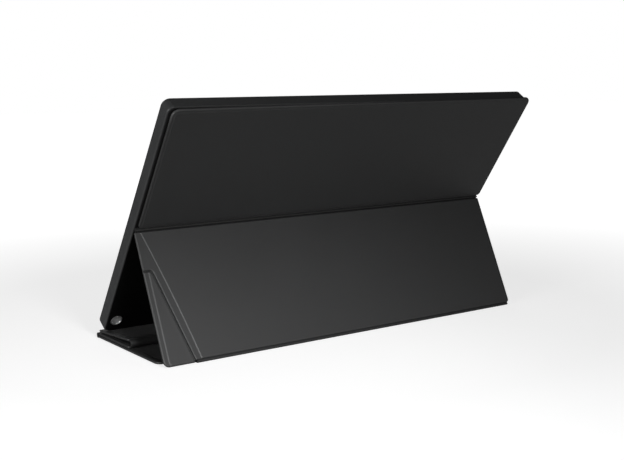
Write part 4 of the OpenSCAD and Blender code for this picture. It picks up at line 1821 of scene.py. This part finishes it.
@dataclass
class Monitor:
    """The monitor: housing, bezel, display, pen hole, buttons and socket."""

    finishes: Finishes
    sizes: MonitorSizes = MonitorSizes()

    @staticmethod
    def _outline(inset: float) -> Loop:
        """Gives the monitor's outline, moved in by inset."""
        return Rounded(-S.width / 2, S.width / 2, 0, S.height, S.corner, S.corner).inset(inset)

    def _fasten(
        self, piece: bpy.types.Object, slot: str, *nodes: str, body: str = "monitor"
    ) -> bpy.types.Object:
        """Fastens a piece to its body and hides the CAD nodes that it stands for.

        Args:
            piece: The piece.
            slot: Not used.
            *nodes: The CAD nodes that it stands for.
            body: The body that carries it.

        Returns:
            The piece.
        """
        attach(piece, body)
        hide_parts(*nodes)
        return piece

    def _housing(self) -> bpy.types.Object:
        """Builds the rear housing: a shell with a rounded rear edge, a pen hole and a socket opening.

        Returns:
            The housing.
        """
        m = self.sizes
        rings = [(m.bezel_t + m.lap, self._outline(m.seam)), (m.bezel_t + m.seam, self._outline(0))]
        start = S.thick - m.rear_edge
        rings += [(start + along, self._outline(drop)) for along, drop in quarter(m.rear_edge, 8)]
        rings.append((S.thick, self._outline(m.rear_edge + m.rear_ring)))
        cavity = prism(self._outline(m.wall), 0, S.thick - m.wall)
        rim, beyond = m.pen_out + 0.15, S.thick + 1
        profile = [(0, 0), (m.pen_out, 0), (m.pen_out, S.thick - 0.1), (rim, S.thick + 0.05)]
        bore = spun(profile + [(rim, beyond), (0, beyond)], *m.pen)
        cuts = [cavity, bore, self._port_cut()]
        piece = carved("housing_shell", lofted(rings), cuts, Place.MONITOR, self.finishes.housing)
        return self._fasten(piece, "housing", "rear_housing")

    def _port_cut(self) -> Shape:
        """Gives the flared slot that is cut through the housing's side for the socket.

        Returns:
            The shape that is taken away.
        """
        m = self.sizes
        y, z, w = m.port
        half = (w - m.port_h) / 2
        rings: list[tuple[float, Loop]] = []
        for depth, grow in m.port_flare:
            r = m.port_h / 2 + grow
            loop = arc((y, z + half), r, 0, 180, 12) + arc((y, z - half), r, 180, 360, 12)
            rings.append((depth - S.width / 2, loop))
        upright = lofted(rings)
        return Shape([(along, a, b) for a, along, b in upright.points], upright.faces)

    def _menu_region(self, grow: float) -> Rounded:
        """Gives the menu button's outline, grown by a distance.

        Args:
            grow: Distance in millimetres, above 0 outwards.

        Returns:
            The outline.
        """
        x, w, h = self.sizes.menu
        z, r = self.sizes.buttons_z, h / 2 + grow - self.sizes.lap
        return Rounded(x - w / 2 - grow, x + w / 2 + grow, z - h / 2 - grow, z + h / 2 + grow, r, r)

    def _bezel(self) -> bpy.types.Object:
        """Builds the bezel round the display, with its slanted inner edge and its holes.

        Returns:
            The bezel.
        """
        m = self.sizes
        w, h = m.view
        edge = Rounded(-S.width / 2, S.width / 2, 0, S.height, S.corner, S.corner)
        window = Rounded(-w / 2, w / 2, m.chin, m.chin + h, m.window_r, m.window_r)
        holes: list[Region] = [
            Disc(*m.pen, m.pen_out), Disc(m.power[0], m.buttons_z, m.power[1] + m.gap),
            Disc(m.light[0], m.buttons_z, m.light[1]), self._menu_region(m.gap),
        ]
        region: Region = edge.without(window)
        for hole in holes:
            region = region.without(hole)

        def front(p: np.ndarray) -> np.ndarray:
            """Gives the depth of the bezel's front.

            Args:
                p: The points, one row of x and z each.

            Returns:
                The depth at each point.
            """
            slant = np.clip(1 + window.depth(p) / m.slant[0], 0, 1) * m.slant[1]
            small = sum(-rolled(-hole.depth(p), m.hole_edge) for hole in holes)
            return -rolled(edge.depth(p), m.front_edge) + slant + small

        def back(p: np.ndarray) -> np.ndarray:
            """Gives the depth of the bezel's back."""
            return m.bezel_t + rolled(edge.depth(p), m.seam)

        lines = [edge.inset(d) for d in BEZEL_BENDS] + [window.inset(-d) for d in WINDOW_BENDS]
        lines += [hole.inset(-d) for hole in holes for d in HOLE_BENDS]
        shape = slab(region, lines, back, front, m.grid)
        piece = shape.build("bezel_frame", Place.MONITOR, self.finishes.bezel)
        return self._fasten(piece, "bezel", "front_bezel")

    def _sleeve(self) -> bpy.types.Object:
        """Builds the turned metal sleeve that lines the pen hole.

        Returns:
            The sleeve.
        """
        m = self.sizes
        lip = [(m.pen_out, 0.15), (m.pen_out - 0.1, 0.02), (m.pen_out - 0.22, -0.02)]
        lip += [(m.pen_r + m.pen_flare - along, drop) for along, drop in quarter(m.pen_flare, 6)]
        far = [(r, S.thick - y) for r, y in reversed(lip)]
        piece = spun(lip + far, *m.pen, steps=72).build("pen_sleeve", Place.MONITOR, self.finishes.sleeve)
        return self._fasten(piece, "sleeve", "pen_hole_sleeve")

    def _buttons(self) -> list[bpy.types.Object]:
        """Builds the power button, which is dished, and the long menu button.

        Returns:
            The two buttons.
        """
        m = self.sizes
        x, r = m.power
        reach, flange_front, flange_back = m.flange
        edge = [(along - m.key_edge, drop - m.proud) for along, drop in quarter(m.key_edge)]
        rim = [(0.0, flange_front), (reach, flange_front), (reach, flange_back)]
        profile = [(0.0, m.dish[0] - m.proud), (r * 0.45, m.dish[1] - m.proud)]
        profile += [(r - 2 * m.key_edge, -m.proud), *((r + grow, y) for grow, y in edge + rim)]
        profile.append((0.0, flange_back))
        steps = [(-m.key_face, -m.proud), *edge, *rim]
        rings = [(y, self._menu_region(grow).inset(0)) for grow, y in steps]
        keys = (
            ("power_key", spun(profile, x, m.buttons_z), "power_button"),
            ("menu_key", lofted(rings), "menu_button"),
        )
        pieces: list[bpy.types.Object] = []
        for name, shape, body in keys:
            piece = shape.build(name, Place.MONITOR, self.finishes.key, SHARP_MOULDED)
            pieces.append(self._fasten(piece, "bezel", body, body=body))
        return pieces

    def _pins(self) -> bpy.types.Object:
        """Lays the gold contacts along both faces of the socket's tongue.

        Returns:
            The contacts, as one piece.
        """
        g = Modeller(
            "contact_pins", Count="Int", Pitch="Float", Apart="Float", Size="Vector", Material="Material"
        )
        row = g.node(
            "GeometryNodeMeshLine", Count=g.given("Count"), Offset=g.node("CombineXYZ", Z=g.given("Pitch"))
        )
        other = g.node(
            "GeometryNodeTransform", Geometry=row, Translation=g.node("CombineXYZ", Y=g.given("Apart"))
        )
        join = g.tree.nodes.new("GeometryNodeJoinGeometry")
        for wire in (row, other):
            g.tree.links.new(wire.socket, join.inputs[0])
        pin = g.node("GeometryNodeMeshCube", Size=g.given("Size"))
        g.close(g.node("GeometryNodeInstanceOnPoints", Points=Wire(g.tree, join.outputs[0]), Instance=pin))
        m = self.sizes
        y, z, _ = m.port
        mesh = g.run(
            bpy.data.meshes.new("empty"), Count=m.pin_count, Pitch=m.pin_pitch * MM, Apart=m.pin_apart * MM,
            Size=tuple(size * MM for size in m.pin), Material=self.finishes.gold,
        )
        low = z - m.pin_pitch * (m.pin_count - 1) / 2
        start = Matrix.Translation(Vector((m.tongue_x + m.pin_in, y - m.pin_apart / 2, low)) * MM)
        place = Place.MONITOR.matrix.copy()
        place.translation *= MM
        mesh.transform(place @ start)
        piece = finish_object("contact_pins", mesh, self.finishes.gold)
        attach(piece, "monitor")
        return piece

    def dress(self) -> list[bpy.types.Object]:
        """Builds the monitor's pieces and lists them."""
        return [self._housing(), self._bezel(), self._sleeve(), *self._buttons(), self._pins()]


# ---------------------------------------------------------------------------------------------------
# Camera, floor and light
# ---------------------------------------------------------------------------------------------------


@dataclass(frozen=True)
class Lamp:
    """A square soft lamp: its place and its side in metres and its power in watts."""

    name: str
    spot: Triple
    size: float
    power: float


@dataclass(frozen=True)
class Beam:
    """A wide flat beam with a soft rim: its places in metres, its width in degrees and its power."""

    name: str
    spot: Triple
    aim: Triple
    width: float
    power: float
    source: float = 0.12
    stretch: Triple = (1.0, 0.55, 1.0)


@dataclass
class Studio:
    """A pale floor, soft lamps and the camera at the photograph's angle."""

    azimuth: float = 144.753
    elevation: float = 7.983
    roll: float = -0.798
    focal_px: float = 1019.04
    eye: Triple = (511.25, 778.04, 204.31)
    sensor: float = 36.0
    clip: Point = (0.01, 50.0)
    floor_half: float = 8.0
    floor_low: float = -0.0002
    floor_tone: float = 0.38
    near_glow: float = 0.74
    far_glow: float = 1.0
    side_glow: Point = (0.01, 0.22)
    world_light: float = 0.05
    lamp_aim: Triple = (0.0, 0.05, 0.09)
    lamps: tuple[Lamp, ...] = (
        Lamp("key_lamp", (1.4, 0.5, 0.2), 0.7, 17.0),
        Lamp("rear_lamp", (-0.9, 1.3, 0.25), 0.9, 2.2),
        Lamp("front_lamp", (-0.6, -1.6, 1.2), 1.4, 4.0),
    )
    low_beam: Beam = Beam("low_beam", (0.28, 1.15, 0.5), (0.15, 0.12, -0.045), 38.0, 50.0)

    def camera(self) -> None:
        """Makes the camera."""
        a, e, r = (math.radians(v) for v in (self.azimuth, self.elevation, self.roll))
        back = Vector((math.sin(a) * math.cos(e), -math.cos(a) * math.cos(e), math.sin(e)))
        right = Vector((0, 0, 1)).cross(back).normalized()
        up = back.cross(right)
        right, up = right * math.cos(r) + up * math.sin(r), up * math.cos(r) - right * math.sin(r)
        data = bpy.data.cameras.new("camera")
        data.sensor_width = self.sensor
        data.lens = self.focal_px * self.sensor / IMAGE_W
        data.clip_start, data.clip_end = self.clip
        camera = bpy.data.objects.new("camera", data)
        turn = Matrix((right, up, back)).transposed().to_4x4()
        camera.matrix_world = Matrix.Translation(Vector(self.eye) * MM) @ turn
        bpy.context.scene.collection.objects.link(camera)
        bpy.context.scene.camera = camera

    def floor(self) -> None:
        """Makes the pale floor, which fades to white and keeps the object's shadow."""
        p = Painter("pale_floor")
        seen = p.node("LightPath", output="Is Camera Ray")
        spot = p.node("TexCoord", output="Object")
        away = p.node("VectorMath", {"operation": "LENGTH"}, output="Value", Vector=spot)
        right = (0.45 - p.node("SeparateXYZ", output="X", Vector=spot) * 2.5).clamped()
        far = ((away - 0.3) * 2.2).clamped()
        unseen_glow = p.blend(right, grey(self.side_glow[0]), grey(self.side_glow[1]))
        seen_glow = p.blend(far, grey(self.near_glow), grey(self.far_glow))
        p.set(
            Base_Color=grey(self.floor_tone), Roughness=0.9, Specular_IOR_Level=0.1,
            Emission_Color=p.blend(seen, unseen_glow, seen_glow), Emission_Strength=1.0,
        )
        half, low = self.floor_half, self.floor_low
        mesh = bpy.data.meshes.new("floor")
        corners = [(-half, -half, low), (half, -half, low), (half, half, low), (-half, half, low)]
        mesh.from_pydata(corners, [], [(0, 1, 2, 3)])
        mesh.materials.append(p.material)
        floor = bpy.data.objects.new("floor", mesh)
        bpy.context.scene.collection.objects.link(floor)

    @staticmethod
    def aimed(data: bpy.types.Light, spot: Triple, aim: Triple) -> bpy.types.Object:
        """Sets a light at a spot, facing a point.

        Args:
            data: The light.
            spot: Its place, in metres.
            aim: The point that it faces, in metres.

        Returns:
            The lamp's object.
        """
        lamp = bpy.data.objects.new(data.name, data)
        lamp.location = spot
        lamp.rotation_euler = (Vector(aim) - Vector(spot)).to_track_quat("-Z", "Y").to_euler()
        bpy.context.scene.collection.objects.link(lamp)
        return lamp

    def lights(self) -> None:
        """Adds the soft lamps and the beam that lifts the leg's lower left corner."""
        for lamp in self.lamps:
            data = bpy.data.lights.new(lamp.name, "AREA")
            data.size, data.energy = lamp.size, lamp.power
            self.aimed(data, lamp.spot, self.lamp_aim)
        beam = self.low_beam
        data = bpy.data.lights.new(beam.name, "SPOT")
        data.spot_size, data.spot_blend = math.radians(beam.width), 1.0
        data.shadow_soft_size, data.energy = beam.source, beam.power
        self.aimed(data, beam.spot, beam.aim).scale = beam.stretch

    def world(self) -> None:
        """Makes the surroundings: white to the camera, soft grey light for the object."""
        world = bpy.data.worlds.new("studio")
        bpy.context.scene.world = world
        world.use_nodes = True
        g = Graph(world.node_tree)
        g.tree.nodes.clear()
        seen = g.node("LightPath", output="Is Camera Ray")
        light = self.world_light
        sky = g.node("Background", Color=grey(1.0), Strength=seen * (1.0 - light) + light)
        out = g.tree.nodes.new("ShaderNodeOutputWorld")
        g.tree.links.new(sky.socket, out.inputs[0])

    def dress(self) -> None:
        """Builds the studio."""
        self.camera()
        self.floor()
        self.world()
        self.lights()
        bpy.context.scene.view_settings.view_transform = "Standard"


def main() -> None:
    """Builds the whole scene and reports each piece."""
    logging.basicConfig(level=logging.INFO, format="%(message)s")
    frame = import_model()
    finishes = Finishes()
    finishes.dress_nodes(frame["nodes"])
    for part in (Monitor(finishes), Cover(finishes)):
        for piece in part.dress():
            LOG.info("%s: %d corners", piece.name, len(piece.data.vertices))
    Studio().dress()


if __name__ == "__main__":
    main()
